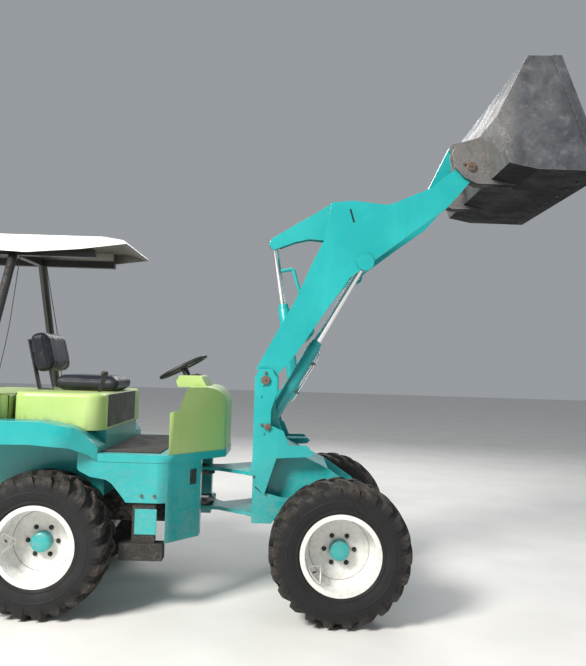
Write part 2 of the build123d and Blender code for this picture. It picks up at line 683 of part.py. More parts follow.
def rear_frame():
    """Rails with the head plate and hinge lugs, cross tubes, and the steering cylinder's bracket."""
    out = RAIL_Y + PLATE
    pieces = [
        box(HEAD_X, HEAD_X + 20, -RAIL_Y - 2, RAIL_Y + 2, RAIL_Z0, 900),
        box(RAIL_REAR_X, RAIL_REAR_X + 20, -RAIL_Y - 2, RAIL_Y + 2, RAIL_Z0, RAIL_Z1),
        pin_y((-700, 620), 45, -RAIL_Y - 2, RAIL_Y + 2),
        box(HEAD_X + 15, -110, -12, 12, HINGE_LOW_Z + 40, HINGE_TOP_Z - 15),
    ]
    for side in (-1, 1):
        y0, y1 = sorted((side * RAIL_Y, side * out))
        pieces.append(box(RAIL_REAR_X, -60, y0, y1, RAIL_Z0, RAIL_Z1))
    for low in (HINGE_TOP_Z - 6 - HINGE_T, HINGE_LOW_Z + HINGE_T + 6):
        lug = slab_z([(HEAD_X + 15, 100), (0, 72), (0, -72), (HEAD_X + 15, -100)], low, low + HINGE_T)
        lug = lug + pin_z(0, 0, 72, low, low + HINGE_T)
        pieces.append(lug - pin_z(0, 0, HINGE_PIN_R, low - 1, low + HINGE_T + 1))
    bx, by = STEER_BASE
    for low in (STEER_Z + STEER_BARREL_R + 4, STEER_Z - STEER_BARREL_R - 4 - 12):
        outline = [(bx - 60, RAIL_Y + 2), (bx + 60, RAIL_Y + 2), (bx + 30, by), (bx - 30, by)]
        ear = slab_z(outline, low, low + 12)
        ear = ear + pin_z(bx, by, 30, low, low + 12)
        pieces.append(ear - pin_z(bx, by, STEER_PIN_R, low - 1, low + 13))
    window = box(HEAD_X - 5, HEAD_X + 25, by - 75, by + 50, STEER_Z - 45, STEER_Z + 45)
    lugs = fuse(pieces)
    return lugs - window


def rear_frame_pins():
    """Upper and lower articulation pins and the steering cylinder's base pin."""
    top = pin_z(0, 0, HINGE_PIN_R, HINGE_TOP_Z - 6 - HINGE_T - 8, HINGE_TOP_Z + HINGE_T + 12)
    low = pin_z(0, 0, HINGE_PIN_R, HINGE_LOW_Z - 12, HINGE_LOW_Z + 2 * HINGE_T + 6 + 8)
    pin_half = STEER_BARREL_R + 4 + 12 + 6
    base = pin_z(*STEER_BASE, STEER_PIN_R, STEER_Z - pin_half, STEER_Z + pin_half)
    return Compound(children=[top, low, base])


def steer_cylinder():
    """Steering barrel and rod on the left of the articulation, as (barrel, rod)."""
    bx, by = STEER_BASE
    ex, ey = STEER_EYE
    length = hypot(ex - bx, ey - by)
    ux = (ex - bx) / length
    uy = (ey - by) / length

    def along(distance):
        return (bx + ux * distance, by + uy * distance, STEER_Z)

    gland = STEER_BARREL_L
    barrel = bar(along(24), along(gland), STEER_BARREL_R)
    barrel = barrel - bar(along(60), along(gland - 14), STEER_BARREL_R - 6)
    barrel = barrel - bar(along(gland - 20), along(gland + 5), STEER_ROD_R + FIT)
    barrel = barrel + pin_z(bx, by, 28, STEER_Z - 18, STEER_Z + 18)
    barrel = barrel - pin_z(bx, by, STEER_PIN_R + FIT, STEER_Z - 20, STEER_Z + 20)
    rod = bar(along(gland - STEER_INSERT), along(length - 24), STEER_ROD_R)
    rod = rod + pin_z(ex, ey, 28, STEER_Z - 18, STEER_Z + 18)
    return barrel, rod


def engine_block():
    """Engine as one block on four feet that stand on the rails' inner faces."""
    pieces = [box(-1460, -940, -230, 230, 640, 1110)]
    for x in (-1400, -1000):
        pieces.append(box(x - 40, x + 40, -RAIL_Y, RAIL_Y, 640, 690))
    return fuse(pieces)


# Body, platform and operator's place

def body_face(inset):
    """The body's plan with its rounded shoulders and nose, brought in by an inset."""
    corner = BODY_CORNER_R
    face = face_of([
        (BODY_REAR_X, -BODY_HALF), (WEDGE_X0, -BODY_HALF, corner), (WEDGE_X1, -WEDGE_HALF, NOSE_R),
        (WEDGE_X1, WEDGE_HALF, NOSE_R), (WEDGE_X0, BODY_HALF, corner), (BODY_REAR_X, BODY_HALF),
    ])
    return offset(face, -inset) if inset else face


def body_slab(inset, z0, z1):
    """The body's plan as a block between two heights."""
    return extrude(Pos(0, 0, z0) * body_face(inset), z1 - z0)


SKIRT_OUTLINE = [
    (-600, 951), (-606, 960), (-660, 1040), (-731, 1060), (-731, 908), (-722, 890),
    (-648, 853, 60), (-549, 838, 50), (-512, 816), (-429, 717),
    (-420, 700), (-150, 700), (-150, 951),
]


def tall_band(inset):
    """The body's plan a little inside its rim, over the full height of skirts and columns."""
    return body_slab(SKIRT_INSET + inset, COLUMN_Z, FLOOR_Z + 60)


def platform():
    """Wedge-fronted floor with its rim, the side skirts and the two front columns."""
    floor = body_slab(0, FLOOR_Z - RIM_DEPTH, FLOOR_Z)
    floor = floor - body_slab(PLATE, FLOOR_Z - RIM_DEPTH - 1, FLOOR_Z - FLOOR_T)
    half = BODY_HALF + 5
    floor = floor - box(BODY_REAR_X - 50, FLOOR_REAR_X, -half, half, FLOOR_Z - 60, FLOOR_Z + 5)
    core = body_slab(PLATE - 1, FLOOR_Z - RIM_DEPTH, FLOOR_Z - FLOOR_T + 1)
    skirt = (tall_band(0) - tall_band(PLATE)) & slab_y(SKIRT_OUTLINE, -BODY_HALF, BODY_HALF)
    pieces = [floor, skirt - fenders()]
    for side in (-1, 1):
        y0, y1 = sorted((side * (RAIL_Y + PLATE), side * BODY_HALF))
        below = box(WEDGE_X0, COLUMN_X, y0, y1, COLUMN_Z, FLOOR_Z - RIM_DEPTH + 1)
        pieces.append(below & tall_band(0))
        pieces.append(core & box(WEDGE_X0, COLUMN_X, y0, y1, COLUMN_Z, FLOOR_Z))
    return fuse(pieces)


FENDER_OUTLINE = [
    (FLOOR_REAR_X, 950), (FLOOR_REAR_X, 1040, 25), (-720, 1160, 130), (-930, FENDER_TOP_Z, 160),
    (RAIL_REAR_X, FENDER_TOP_Z, 60), (RAIL_REAR_X, 925), (-1585, 925), (-1545, 1030, 70), (-1400, 1049),
    (-989, 1057), (-760, 1040, 150), (-658, 994),
]
FENDER_PLAN = [
    (RAIL_REAR_X, FENDER_IN), (FLOOR_REAR_X, FENDER_IN), (FLOOR_REAR_X, BODY_HALF), (-800, FENDER_HALF, 200),
    (RAIL_REAR_X, FENDER_HALF, 60),
]


def fenders():
    outer = slab_y(FENDER_OUTLINE, FENDER_IN, FENDER_HALF) & slab_z(FENDER_PLAN, 900, 1300)
    room_y = (FENDER_IN - 10, SEAT_COVER_HALF + 6)
    lid_room = box(RAIL_REAR_X - 60, FLOOR_REAR_X + 60, *room_y, SEAT_COVER_Z0, 1300)
    return Compound(children=both(outer - lid_room))


def bay_walls():
    """Side walls of the engine bay, between the frame rails and the seat cover."""
    front_x = FLOOR_REAR_X - 14
    wall = box(RAIL_REAR_X, front_x, FENDER_IN - 18, FENDER_IN, RAIL_Z1, SEAT_COVER_Z0)
    foot = box(RAIL_REAR_X, front_x, RAIL_Y, FENDER_IN - 16, RAIL_Z1, RAIL_Z1 + 12)
    front = box(front_x, FLOOR_REAR_X, 0, FENDER_IN, RAIL_Z1, SEAT_COVER_Z0)
    right = wall + foot
    return fuse([right, mirror(right, Plane.XZ), front, mirror(front, Plane.XZ)])


def rounded_block(x0, x1, half, z0, z1, plan_r, top_r):
    """A block with rounded upright corners and a rounded top edge."""
    block = box(x0, x1, -half, half, z0, z1)
    block = fillet(block.edges().filter_by(Axis.Z), plan_r)
    return fillet(block.faces().sort_by(Axis.Z)[-1].edges(), top_r)


def seat_cover():
    """Moulded cover over the engine bay's front, open underneath."""
    z0, z1 = SEAT_COVER_Z0, SEAT_COVER_Z1
    outer = rounded_block(SEAT_COVER_X0, SEAT_COVER_X1, SEAT_COVER_HALF, z0, z1, 110, 30)
    inner_half = SEAT_COVER_HALF - 40
    inner = box(SEAT_COVER_X0 + 12, SEAT_COVER_X1 - 40, -inner_half, inner_half, z0 - 1, z1 - 12)
    return outer - inner


def engine_hood():
    """Rear lid over the engine, hinged at its front edge."""
    x1 = SEAT_COVER_X0 - HOOD_GAP
    outer = rounded_block(HOOD_REAR_X, x1, SEAT_COVER_HALF, SEAT_COVER_Z0 + FIT, SEAT_COVER_Z1 - 20, 90, 30)
    inner_half = SEAT_COVER_HALF - 40
    inner_top = SEAT_COVER_Z1 - 32
    inner = box(HOOD_REAR_X + 40, x1 - 12, -inner_half, inner_half, SEAT_COVER_Z0, inner_top)
    return outer - inner


def hood_hinge():
    """Hinge barrels along the joint between the seat cover and the hood."""
    at = (SEAT_COVER_X0 - HOOD_GAP / 2, SEAT_COVER_Z1 - 26)
    return Compound(children=both(pin_y(at, HOOD_GAP / 2 - FIT, 250, 400)))


def rear_grille():
    """Upright rear panel with louvred slots."""
    x0 = RAIL_REAR_X - 20
    panel = box(x0, RAIL_REAR_X, -FENDER_IN, FENDER_IN, COUNTERWEIGHT_TOP_Z, SEAT_COVER_Z0)
    for row in range(6):
        z = COUNTERWEIGHT_TOP_Z + 30 + row * 34
        for y0, y1 in ((-360, -15), (15, 360)):
            panel = panel - box(x0 - 5, RAIL_REAR_X + 5, y0, y1, z, z + 16)
    return panel


def counterweight():
    """Cast rear weight with rounded corners and the drawbar pin's bore."""
    rear = RAIL_REAR_X - COUNTERWEIGHT_L
    block = box(rear, RAIL_REAR_X, -560, 560, 560, COUNTERWEIGHT_TOP_Z)
    block = fillet(block.edges().filter_by(Axis.Z).group_by(Axis.X)[0], 110)
    jaw = box(rear - 20, rear + 80, -60, 60, 640, 700)
    return block - jaw - pin_z(rear + 35, 0, DRAWBAR_PIN_R, 540, COUNTERWEIGHT_TOP_Z + 10)


COWL_OUTLINE = [
    (-164, FLOOR_Z), (-164, 1268, 8), (-120, 1274), (-73, COWL_TOP_Z, 12),
    (WEDGE_X1, COWL_TOP_Z, COWL_BROW_R),
    (WEDGE_X1, FLOOR_Z),
]
COWL_ROOM = [
    (-300, FLOOR_Z - 1), (-300, COWL_TOP_Z - COWL_T),
    (WEDGE_X1 - COWL_T, COWL_TOP_Z - COWL_T, COWL_BROW_R - COWL_T),
    (WEDGE_X1 - COWL_T, FLOOR_Z - 1),
]
POD_OUTLINE = [(-186, 1418), (-200, 1456), (-180, 1498, 10), (-30, 1500, 30), (14, 1424)]


def cowl():
    """Wedge-plan leg shield in front of the operator, open to the rear, with its instrument pod."""
    shield = body_slab(COWL_INSET, FLOOR_Z, COWL_TOP_Z) & slab_y(COWL_OUTLINE, -BODY_HALF, BODY_HALF)
    room = body_slab(COWL_INSET + COWL_T, FLOOR_Z - 1, COWL_TOP_Z) & slab_y(COWL_ROOM, -BODY_HALF, BODY_HALF)
    pod = slab_y(POD_OUTLINE, -POD_HALF, POD_HALF)
    return shield - room + pod - bar(COLUMN_TOP, COLUMN_FOOT, COLUMN_R + FIT)


def rops_frame():
    """Two leaning posts with their heads joined and two beams under the roof."""
    pieces = []
    for side in (-1, 1):
        foot = (POST_X, side * POST_FOOT_Y, FENDER_TOP_Z)
        knee = (POST_X, side * POST_FOOT_Y, POST_KNEE_Z)
        head = (POST_X, side * POST_HEAD_HALF, POST_HEAD_Z)
        pieces.append(bar(foot, knee, POST_R))
        pieces.append(Pos(*knee) * Sphere(POST_R))
        pieces.append(bar(knee, head, POST_R))
        y0, y1 = side * POST_FOOT_Y - 38, side * POST_FOOT_Y + 38
        pieces.append(box(POST_X - 60, POST_X + 60, y0, y1, FENDER_TOP_Z, FENDER_TOP_Z + 12))
        y0, y1 = sorted((side * (POST_HEAD_HALF - 25), side * (POST_HEAD_HALF + 25)))
        pieces.append(box(-1740, -777, y0, y1, POST_HEAD_Z - 25, POST_HEAD_Z + 25))
    beam = box(POST_X - 25, POST_X + 25, -POST_HEAD_HALF, POST_HEAD_HALF, POST_HEAD_Z - 25, POST_HEAD_Z + 25)
    pieces.append(beam)
    return fuse(pieces)


def canopy_roof():
    """Moulded roof with a skirt that deepens towards the rear."""
    top = [(-1790, 2395), (-1600, 2418), (-700, ROOF_TOP_Z), (-561, 2400), (ROOF_FRONT_X, 2376)]
    low = [(-853, 2331), (-1222, 2299), (-1700, 2318), (ROOF_REAR_X, 2345)]
    outer = slab_y(top + low, -ROOF_HALF, ROOF_HALF)
    room = [(-1782, 2280), (-1782, 2378), (-1600, 2404), (-700, 2406), (-575, 2385), (-575, 2280)]
    shell = outer - slab_y(room, -ROOF_HALF + 14, ROOF_HALF - 14)
    ribs = []
    for side in (-1, 1):
        y0, y1 = sorted((side * (POST_HEAD_HALF - 17), side * (POST_HEAD_HALF + 17)))
        ribs.append(box(-1730, -790, y0, y1, POST_HEAD_Z + 25, 2396))
        ribs.append(box(-1600, -790, y0, y1, 2380, 2408))
    return fuse([shell] + ribs)


def seat_cushion():
    block = box(-1056, -582, -240, 240, SEAT_COVER_Z1 + FIT, 1478)
    return fillet(block.edges(), 28)


def seat_back():
    return SEAT_BACK_PLACE * fillet(Box(SEAT_BACK_T, 470, 300).edges(), 34)


def seat_brackets():
    """Footed uprights that carry the seat's back from the cover."""
    pieces = []
    front = -SEAT_BACK_T / 2 - FIT
    for y in (-150, 150):
        upright = SEAT_BACK_PLACE * box(front - 14, front, y - 25, y + 25, -320, 110)
        upright = upright - box(-1300, -1000, -300, 300, 1200, SEAT_COVER_Z1)
        foot = box(-1158, -1066, y - 25, y + 25, SEAT_COVER_Z1, SEAT_COVER_Z1 + 8)
        pieces.append(upright + foot)
    return Compound(children=pieces)


def steering_wheel():
    ring = Torus(175, 13)
    spokes = Cylinder(28, WHEEL_HUB_H) + Box(340, 24, 8) + Box(24, 340, 8)
    return Pos(*COLUMN_TOP) * Rot(0, -COLUMN_TILT, 0) * Pos(0, 0, WHEEL_HUB_H / 2) * (ring + spokes)


def steering_column():
    return bar(COLUMN_TOP, COLUMN_FOOT, COLUMN_R) + box(-110, -10, -60, 60, FLOOR_Z, 1340)


def levers():
    pieces = []
    for y in (-300, -360):
        pieces.append(bar((-690, y, SEAT_COVER_Z1 + 2), (-665, y, 1490), 7) + Pos(-665, y, 1497) * Sphere(17))
    return Compound(children=pieces)


def floor_mat():
    half = BODY_HALF - 90
    outline = [(FLOOR_REAR_X, -half), (-225, -half), (-225, half), (FLOOR_REAR_X, half)]
    return slab_z(outline, FLOOR_Z, FLOOR_Z + 6)


def steps():
    """Access steps hung under both sides of the platform."""
    plate_out = BODY_HALF - SKIRT_INSET - PLATE
    plate = box(-376, -231, plate_out - 42, plate_out, 440, 760)
    tread = box(-450, -177, BODY_HALF - STEP_IN, BODY_HALF + 5, 345, 450)
    return Compound(children=both(plate + tread))


def rear_lamps():
    rear = RAIL_REAR_X - COUNTERWEIGHT_L
    return Compound(children=both(box(rear - 15, rear, 380, 440, 780, 850)))


def main():
    os.makedirs("parts", exist_ok=True)
    for name, shape in nodes():
        save(name, shape)


def nodes():
    """Every node's name and shape."""
    wheel = (("tyre", tyre()), ("rim", rim()), ("hub", hub()))
    for end, x in (("front", AXLE_X), ("rear", -AXLE_X)):
        for hand, side in (("left", 1), ("right", -1)):
            for name, shape in wheel:
                yield f"{name}_{end}_{hand}", at_wheel(shape, x, side)
    yield "front_axle", axle(AXLE_X, FRONT_FLOOR_Z, CHASSIS_Y)
    yield "rear_axle", axle(-AXLE_X, RAIL_Z0, RAIL_Y)
    yield "boom", boom()
    yield "bucket_pins", bucket_pins()
    yield "crank_pin", crank_pin()
    yield "bell_crank", bell_crank()
    yield "link_pin", link_pin()
    yield "tilt_link", tilt_link()
    barrel, rod = cylinder_pair(TILT_BASE, ROD_PIN, tilt_gland(), TILT_INSERT, 0, EYE_HALF)
    yield "tilt_barrel", barrel
    yield "tilt_rod", rod
    barrel, rod = cylinder_pair(LIFT_BASE, LIFT_EYE, LIFT_GLAND, LIFT_INSERT, -LIFT_Y, BARREL_R)
    yield "lift_barrels", Compound(children=both(barrel))
    yield "lift_rods", Compound(children=both(rod))
    yield "bucket", bucket()
    yield "cutting_edge", cutting_edge()
    yield "front_frame", front_frame()
    yield "boom_tower", boom_tower()
    yield "front_frame_pins", front_frame_pins()
    yield "rear_frame", rear_frame()
    yield "rear_frame_pins", rear_frame_pins()
    barrel, rod = steer_cylinder()
    yield "steer_barrel", barrel
    yield "steer_rod", rod
    yield "engine_block", engine_block()
    yield "platform", platform()
    yield "fenders", fenders()
    yield "bay_walls", bay_walls()
    yield "seat_cover", seat_cover()
    yield "engine_hood", engine_hood()
    yield "hood_hinge", hood_hinge()
    yield "rear_grille", rear_grille()
    yield "counterweight", counterweight()
    yield "cowl", cowl()
    yield "rops_frame", rops_frame()
    yield "canopy_roof", canopy_roof()
    yield "seat_cushion", seat_cushion()
    yield "seat_back", seat_back()
    yield "seat_brackets", seat_brackets()
    yield "steering_wheel", steering_wheel()
    yield "steering_column", steering_column()
    yield "levers", levers()
    yield "floor_mat", floor_mat()
    yield "steps", steps()
    yield "rear_lamps", rear_lamps()


main()
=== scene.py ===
"""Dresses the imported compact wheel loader: finishes, lugged tyres, seat, trim and fittings."""

import json
from itertools import product
from math import cos, pi, radians, sin

import bmesh
import bpy
from mathutils import Matrix, Vector


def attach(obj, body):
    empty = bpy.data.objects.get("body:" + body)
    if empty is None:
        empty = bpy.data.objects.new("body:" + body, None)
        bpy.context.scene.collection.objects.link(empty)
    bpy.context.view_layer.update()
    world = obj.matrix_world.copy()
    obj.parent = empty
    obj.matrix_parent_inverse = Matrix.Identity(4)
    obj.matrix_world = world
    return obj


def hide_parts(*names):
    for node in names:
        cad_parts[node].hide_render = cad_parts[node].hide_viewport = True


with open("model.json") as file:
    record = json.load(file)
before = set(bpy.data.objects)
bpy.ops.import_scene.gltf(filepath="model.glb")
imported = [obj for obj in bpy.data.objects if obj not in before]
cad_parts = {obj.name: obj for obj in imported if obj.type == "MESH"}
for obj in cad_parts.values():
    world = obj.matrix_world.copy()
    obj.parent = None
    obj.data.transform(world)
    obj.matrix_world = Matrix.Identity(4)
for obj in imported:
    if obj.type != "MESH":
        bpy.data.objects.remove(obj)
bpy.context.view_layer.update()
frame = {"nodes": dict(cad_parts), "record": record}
NODES = frame["nodes"]

WHEEL_X = 0.93  # each axle's distance from the articulation pin
WHEEL_Y = 0.65
WHEEL_Z = 0.445
WHEELS = [  # end, hand, x, y
    ("front", "left", WHEEL_X, WHEEL_Y), ("front", "right", WHEEL_X, -WHEEL_Y),
    ("rear", "left", -WHEEL_X, WHEEL_Y), ("rear", "right", -WHEEL_X, -WHEEL_Y),
]
HANDS = (("left", 1), ("right", -1))

# Pins of the boom's linkage at rest: x, z
BOOM_FOOT = (0.428, 1.488)
LIFT_BASE = (0.450, 1.180)
LIFT_EYE = (1.073, 2.301)
BUCKET_PIN = (1.767, 2.965)
CRANK_PIN = (0.925, 2.620)
LINK_PIN = (1.550, 2.785)
ARM_INNER = 0.350  # y of each boom arm's faces
ARM_OUTER = 0.400
BARREL_Y = 0.262
TOWER_PIN_END = 0.437
FINE_EDGE = 0.0008
CUSHION_PLACE = (-0.819, 0, 1.4262)
SEAT_BACK_PLACE = (-1.146, 0, 1.632)


# Camera, floor and light

FOCAL_PIXELS = 700
PHOTO_HEIGHT = 666
SENSOR = 36
CAMERA_PLACE = (0.5736, -5.0826, 1.5799)
CAMERA_TURN = (0.0056, 0.0486, 0.0306)  # yaw, pitch, roll in radians
LIGHTS = [  # name, place, target, size, watts, colour
    ("key", (-5.0, -6.5, 7.0), (0, 0, 1.2), (2.6, 2.6), 1620, (1.0, 0.97, 0.92)),
    ("fill", (6.5, -5.0, 3.5), (0.4, 0, 1.2), (5.0, 4.0), 70, (0.93, 0.96, 1.0)),
    ("back", (1.0, 7.0, 6.0), (0, 0, 1.5), (6.0, 3.0), 330, (1.0, 1.0, 1.0)),
]
SKY = (0.84, 0.89, 0.94, 1)
SKY_STRENGTH = 0.37
FLOOR_REACH = 40


def place_camera():
    """The photograph's camera, solved from the two wheels on the near side."""
    yaw, pitch, roll = CAMERA_TURN
    forward = Vector((sin(yaw) * cos(pitch), cos(yaw) * cos(pitch), sin(pitch)))
    level = Vector((cos(yaw), -sin(yaw), 0))
    above = level.cross(forward)
    right = cos(roll) * level + sin(roll) * above
    up = -sin(roll) * level + cos(roll) * above
    data = bpy.data.cameras.new("camera")
    data.lens = FOCAL_PIXELS / PHOTO_HEIGHT * SENSOR
    data.sensor_width = SENSOR
    data.clip_end = 200
    camera = bpy.data.objects.new("camera", data)
    turn = Matrix((right, up, -forward)).transposed().to_4x4()
    camera.matrix_world = Matrix.Translation(CAMERA_PLACE) @ turn
    bpy.context.scene.collection.objects.link(camera)
    bpy.context.scene.camera = camera


def area_light(name, place, target, size, watts, colour):
    """A rectangular lamp aimed at a target."""
    data = bpy.data.lights.new(name, "AREA")
    data.shape = "RECTANGLE"
    data.size, data.size_y = size
    data.energy = watts
    data.color = colour
    light = bpy.data.objects.new(name, data)
    light.location = place
    aim = Vector(target) - Vector(place)
    light.rotation_euler = aim.to_track_quat("-Z", "Y").to_euler()
    bpy.context.scene.collection.objects.link(light)


def light_stage():
    """Pale floor, pale surroundings and three soft lights, the key from the rear right."""
    world = bpy.data.worlds.new("studio")
    world.use_nodes = True
    background = world.node_tree.nodes["Background"]
    background.inputs["Color"].default_value = SKY
    background.inputs["Strength"].default_value = SKY_STRENGTH
    bpy.context.scene.world = world
    bpy.context.scene.view_settings.view_transform = "Standard"
    for row in LIGHTS:
        area_light(*row)
    mesh = bpy.data.meshes.new("floor")
    signs = ((-1, -1), (1, -1), (1, 1), (-1, 1))
    corners = [(FLOOR_REACH * x, FLOOR_REACH * y, 0) for x, y in signs]
    mesh.from_pydata(corners, [], [(0, 1, 2, 3)])
    floor = bpy.data.objects.new("floor", mesh)
    bpy.context.scene.collection.objects.link(floor)
    graph = Graph("floor", (0.72, 0.71, 0.69), 0.75)
    grain = graph.noise(1.6, 3)
    graph.colour(graph.mix(graph.spread(grain, 0.3, 0.7), (0.70, 0.69, 0.67), (0.75, 0.74, 0.72)))
    mesh.materials.append(graph.material)


# Materials

class Graph:
    """A Principled material with short helpers for procedural detail."""

    def __init__(self, name, base, rough, metal=0.0):
        self.material = bpy.data.materials.new(name)
        self.material.use_nodes = True
        self.tree = self.material.node_tree
        self.shader = self.tree.nodes["Principled BSDF"]
        self.put(self.shader.inputs["Base Color"], base)
        self.put(self.shader.inputs["Roughness"], rough)
        self.put(self.shader.inputs["Metallic"], metal)
        self.material.diffuse_color = (*base, 1)
        self.place = self.tree.nodes.new("ShaderNodeTexCoord").outputs["Object"]
        self.relief = None

    def put(self, socket, value):
        """Link a node's output to a socket, or set the socket's own value."""
        if isinstance(value, bpy.types.NodeSocket):
            self.tree.links.new(value, socket)
        elif isinstance(value, (tuple, list)) and len(value) == 3 and socket.type == "RGBA":
            socket.default_value = (*value, 1)
        else:
            socket.default_value = value

    def stretch(self, scale):
        """The object's coordinates, scaled by axis."""
        node = self.tree.nodes.new("ShaderNodeMapping")
        self.put(node.inputs["Vector"], self.place)
        node.inputs["Scale"].default_value = scale
        return node.outputs[0]

    def noise(self, scale, detail=5, rough=0.55, at=None, warp=0.0):
        node = self.tree.nodes.new("ShaderNodeTexNoise")
        self.put(node.inputs["Vector"], at or self.place)
        self.put(node.inputs["Scale"], scale)
        self.put(node.inputs["Detail"], detail)
        self.put(node.inputs["Roughness"], rough)
        self.put(node.inputs["Distortion"], warp)
        return node.outputs[0]

    def cells(self, scale):
        """Distance to the nearest of many scattered points."""
        node = self.tree.nodes.new("ShaderNodeTexVoronoi")
        self.put(node.inputs["Vector"], self.place)
        self.put(node.inputs["Scale"], scale)
        return node.outputs["Distance"]

    def spread(self, value, low, high, start=0.0, end=1.0):
        """A smooth step from start to end as the value goes from low to high."""
        node = self.tree.nodes.new("ShaderNodeMapRange")
        node.interpolation_type = "SMOOTHSTEP"
        for socket, number in zip(node.inputs[:5], (value, low, high, start, end)):
            self.put(socket, number)
        return node.outputs[0]

    def maths(self, kind, a, b=0.0, clamp=True):
        """Sums, differences and products are kept within 0 and 1, unless clamp is off."""
        node = self.tree.nodes.new("ShaderNodeMath")
        node.operation = kind
        node.use_clamp = clamp and kind in ("ADD", "MULTIPLY", "SUBTRACT")
        self.put(node.inputs[0], a)
        self.put(node.inputs[1], b)
        return node.outputs[0]

    def times(self, a, b):
        return self.maths("MULTIPLY", a, b)

    def mix(self, share, a, b):
        """From colour a to colour b by a share."""
        node = self.tree.nodes.new("ShaderNodeMix")
        node.data_type = "RGBA"
        self.put(node.inputs["Factor"], share)
        colours = [socket for socket in node.inputs if socket.type == "RGBA"]
        self.put(colours[0], a)
        self.put(colours[1], b)
        return [socket for socket in node.outputs if socket.type == "RGBA"][0]

    def axis(self, name, vector=None):
        split = self.tree.nodes.new("ShaderNodeSeparateXYZ")
        self.put(split.inputs[0], vector or self.place)
        return split.outputs[name]

    def facing(self, low, high):
        """0 to 1 as the surface's upward share goes from low to high; it turns with the piece."""
        normal = self.tree.nodes.new("ShaderNodeTexCoord").outputs["Normal"]
        return self.spread(self.axis("Z", normal), low, high)

    def crevice(self, reach):
        """1 in corners and gaps, 0 on open faces."""
        node = self.tree.nodes.new("ShaderNodeAmbientOcclusion")
        node.samples = 6
        node.inputs["Distance"].default_value = reach
        return self.spread(node.outputs["AO"], 0.35, 0.85, 1.0, 0.0)

    def edge(self, reach):
        """1 along sharp outer edges."""
        rounded = self.tree.nodes.new("ShaderNodeBevel")
        rounded.samples = 4
        rounded.inputs["Radius"].default_value = reach
        shape = self.tree.nodes.new("ShaderNodeNewGeometry")
        dot = self.tree.nodes.new("ShaderNodeVectorMath")
        dot.operation = "DOT_PRODUCT"
        self.put(dot.inputs[0], rounded.outputs[0])
        self.put(dot.inputs[1], shape.outputs["True Normal"])
        return self.spread(dot.outputs["Value"], 0.78, 0.97, 1.0, 0.0)

    def colour(self, value):
        self.put(self.shader.inputs["Base Color"], value)

    def rough(self, value):
        self.put(self.shader.inputs["Roughness"], value)

    def metal(self, value):
        self.put(self.shader.inputs["Metallic"], value)

    def bump(self, value, depth, strength):
        """Relief of a depth in metres, on top of any relief that is there already."""
        node = self.tree.nodes.new("ShaderNodeBump")
        node.inputs["Strength"].default_value = strength
        node.inputs["Distance"].default_value = depth
        self.put(node.inputs["Height"], value)
        if self.relief is not None:
            self.put(node.inputs["Normal"], self.relief)
        self.relief = node.outputs[0]
        self.put(self.shader.inputs["Normal"], self.relief)


DRY_DUST = (0.33, 0.27, 0.20)
CHIPPED = (0.11, 0.065, 0.04)


def shade(colour, share, lift=0.0):
    """A colour times a share, raised a little."""
    return tuple(min(1, value * share + lift) for value in colour)


def paint(name, base, faded, rough=0.34, dust=0.35, chips=0.5, dust_colour=DRY_DUST, underside_shade=None):
    """Sprayed paint: fading, dust low down and on ledges, painted shade in corners, chips along
    edges.

    A piece given a colour for its underside wears it as painted shade there and in its hollows.
    """
    graph = Graph(name, base, rough)
    broad = graph.noise(2.2, 3)
    fine = graph.noise(38, 6, 0.65)
    streak = graph.noise(1.0, 5, 0.6, at=graph.stretch((26, 26, 2.4)))
    skin = graph.mix(graph.spread(broad, 0.32, 0.7), base, faded)
    streaks = graph.times(graph.spread(streak, 0.5, 0.8), 0.16)
    skin = graph.mix(streaks, skin, shade(base, 0.72))
    low = graph.spread(graph.axis("Z"), 1.25, 0.35)
    ledge = graph.times(graph.facing(0.2, 0.95), 0.45)
    film = graph.times(graph.maths("ADD", low, ledge), graph.spread(fine, 0.38, 0.72))
    film = graph.times(film, dust)
    skin = graph.mix(film, skin, dust_colour)
    # Painted shade: corners and gaps take a dark tone of the base, in patches.
    corner = graph.times(graph.crevice(0.05), graph.spread(graph.noise(17, 5), 0.3, 0.62))
    skin = graph.mix(graph.times(corner, 0.55), skin, shade(base, 0.25, 0.01))
    speck = graph.noise(120, 4, 0.7)
    worn = graph.times(graph.edge(0.006), graph.spread(speck, 0.56, 0.62))
    worn = graph.times(worn, chips)
    skin = graph.mix(worn, skin, CHIPPED)
    # Painted shade: the underside and the hollows take the given dark colour.
    if underside_shade:
        inside = graph.times(graph.crevice(0.30), 2.0)
        skin = graph.mix(graph.maths("ADD", inside, graph.facing(-0.25, -0.6)), skin, underside_shade)
    graph.colour(skin)
    gloss = graph.spread(fine, 0.3, 0.75, rough - 0.05, rough + 0.10)
    graph.rough(graph.maths("ADD", gloss, graph.times(film, 0.8)))
    graph.shader.inputs["Coat Weight"].default_value = 0.25
    graph.shader.inputs["Coat Roughness"].default_value = 0.12
    graph.bump(graph.noise(260, 2), 0.0002, 0.35)
    graph.bump(broad, 0.004, 0.25)
    return graph.material


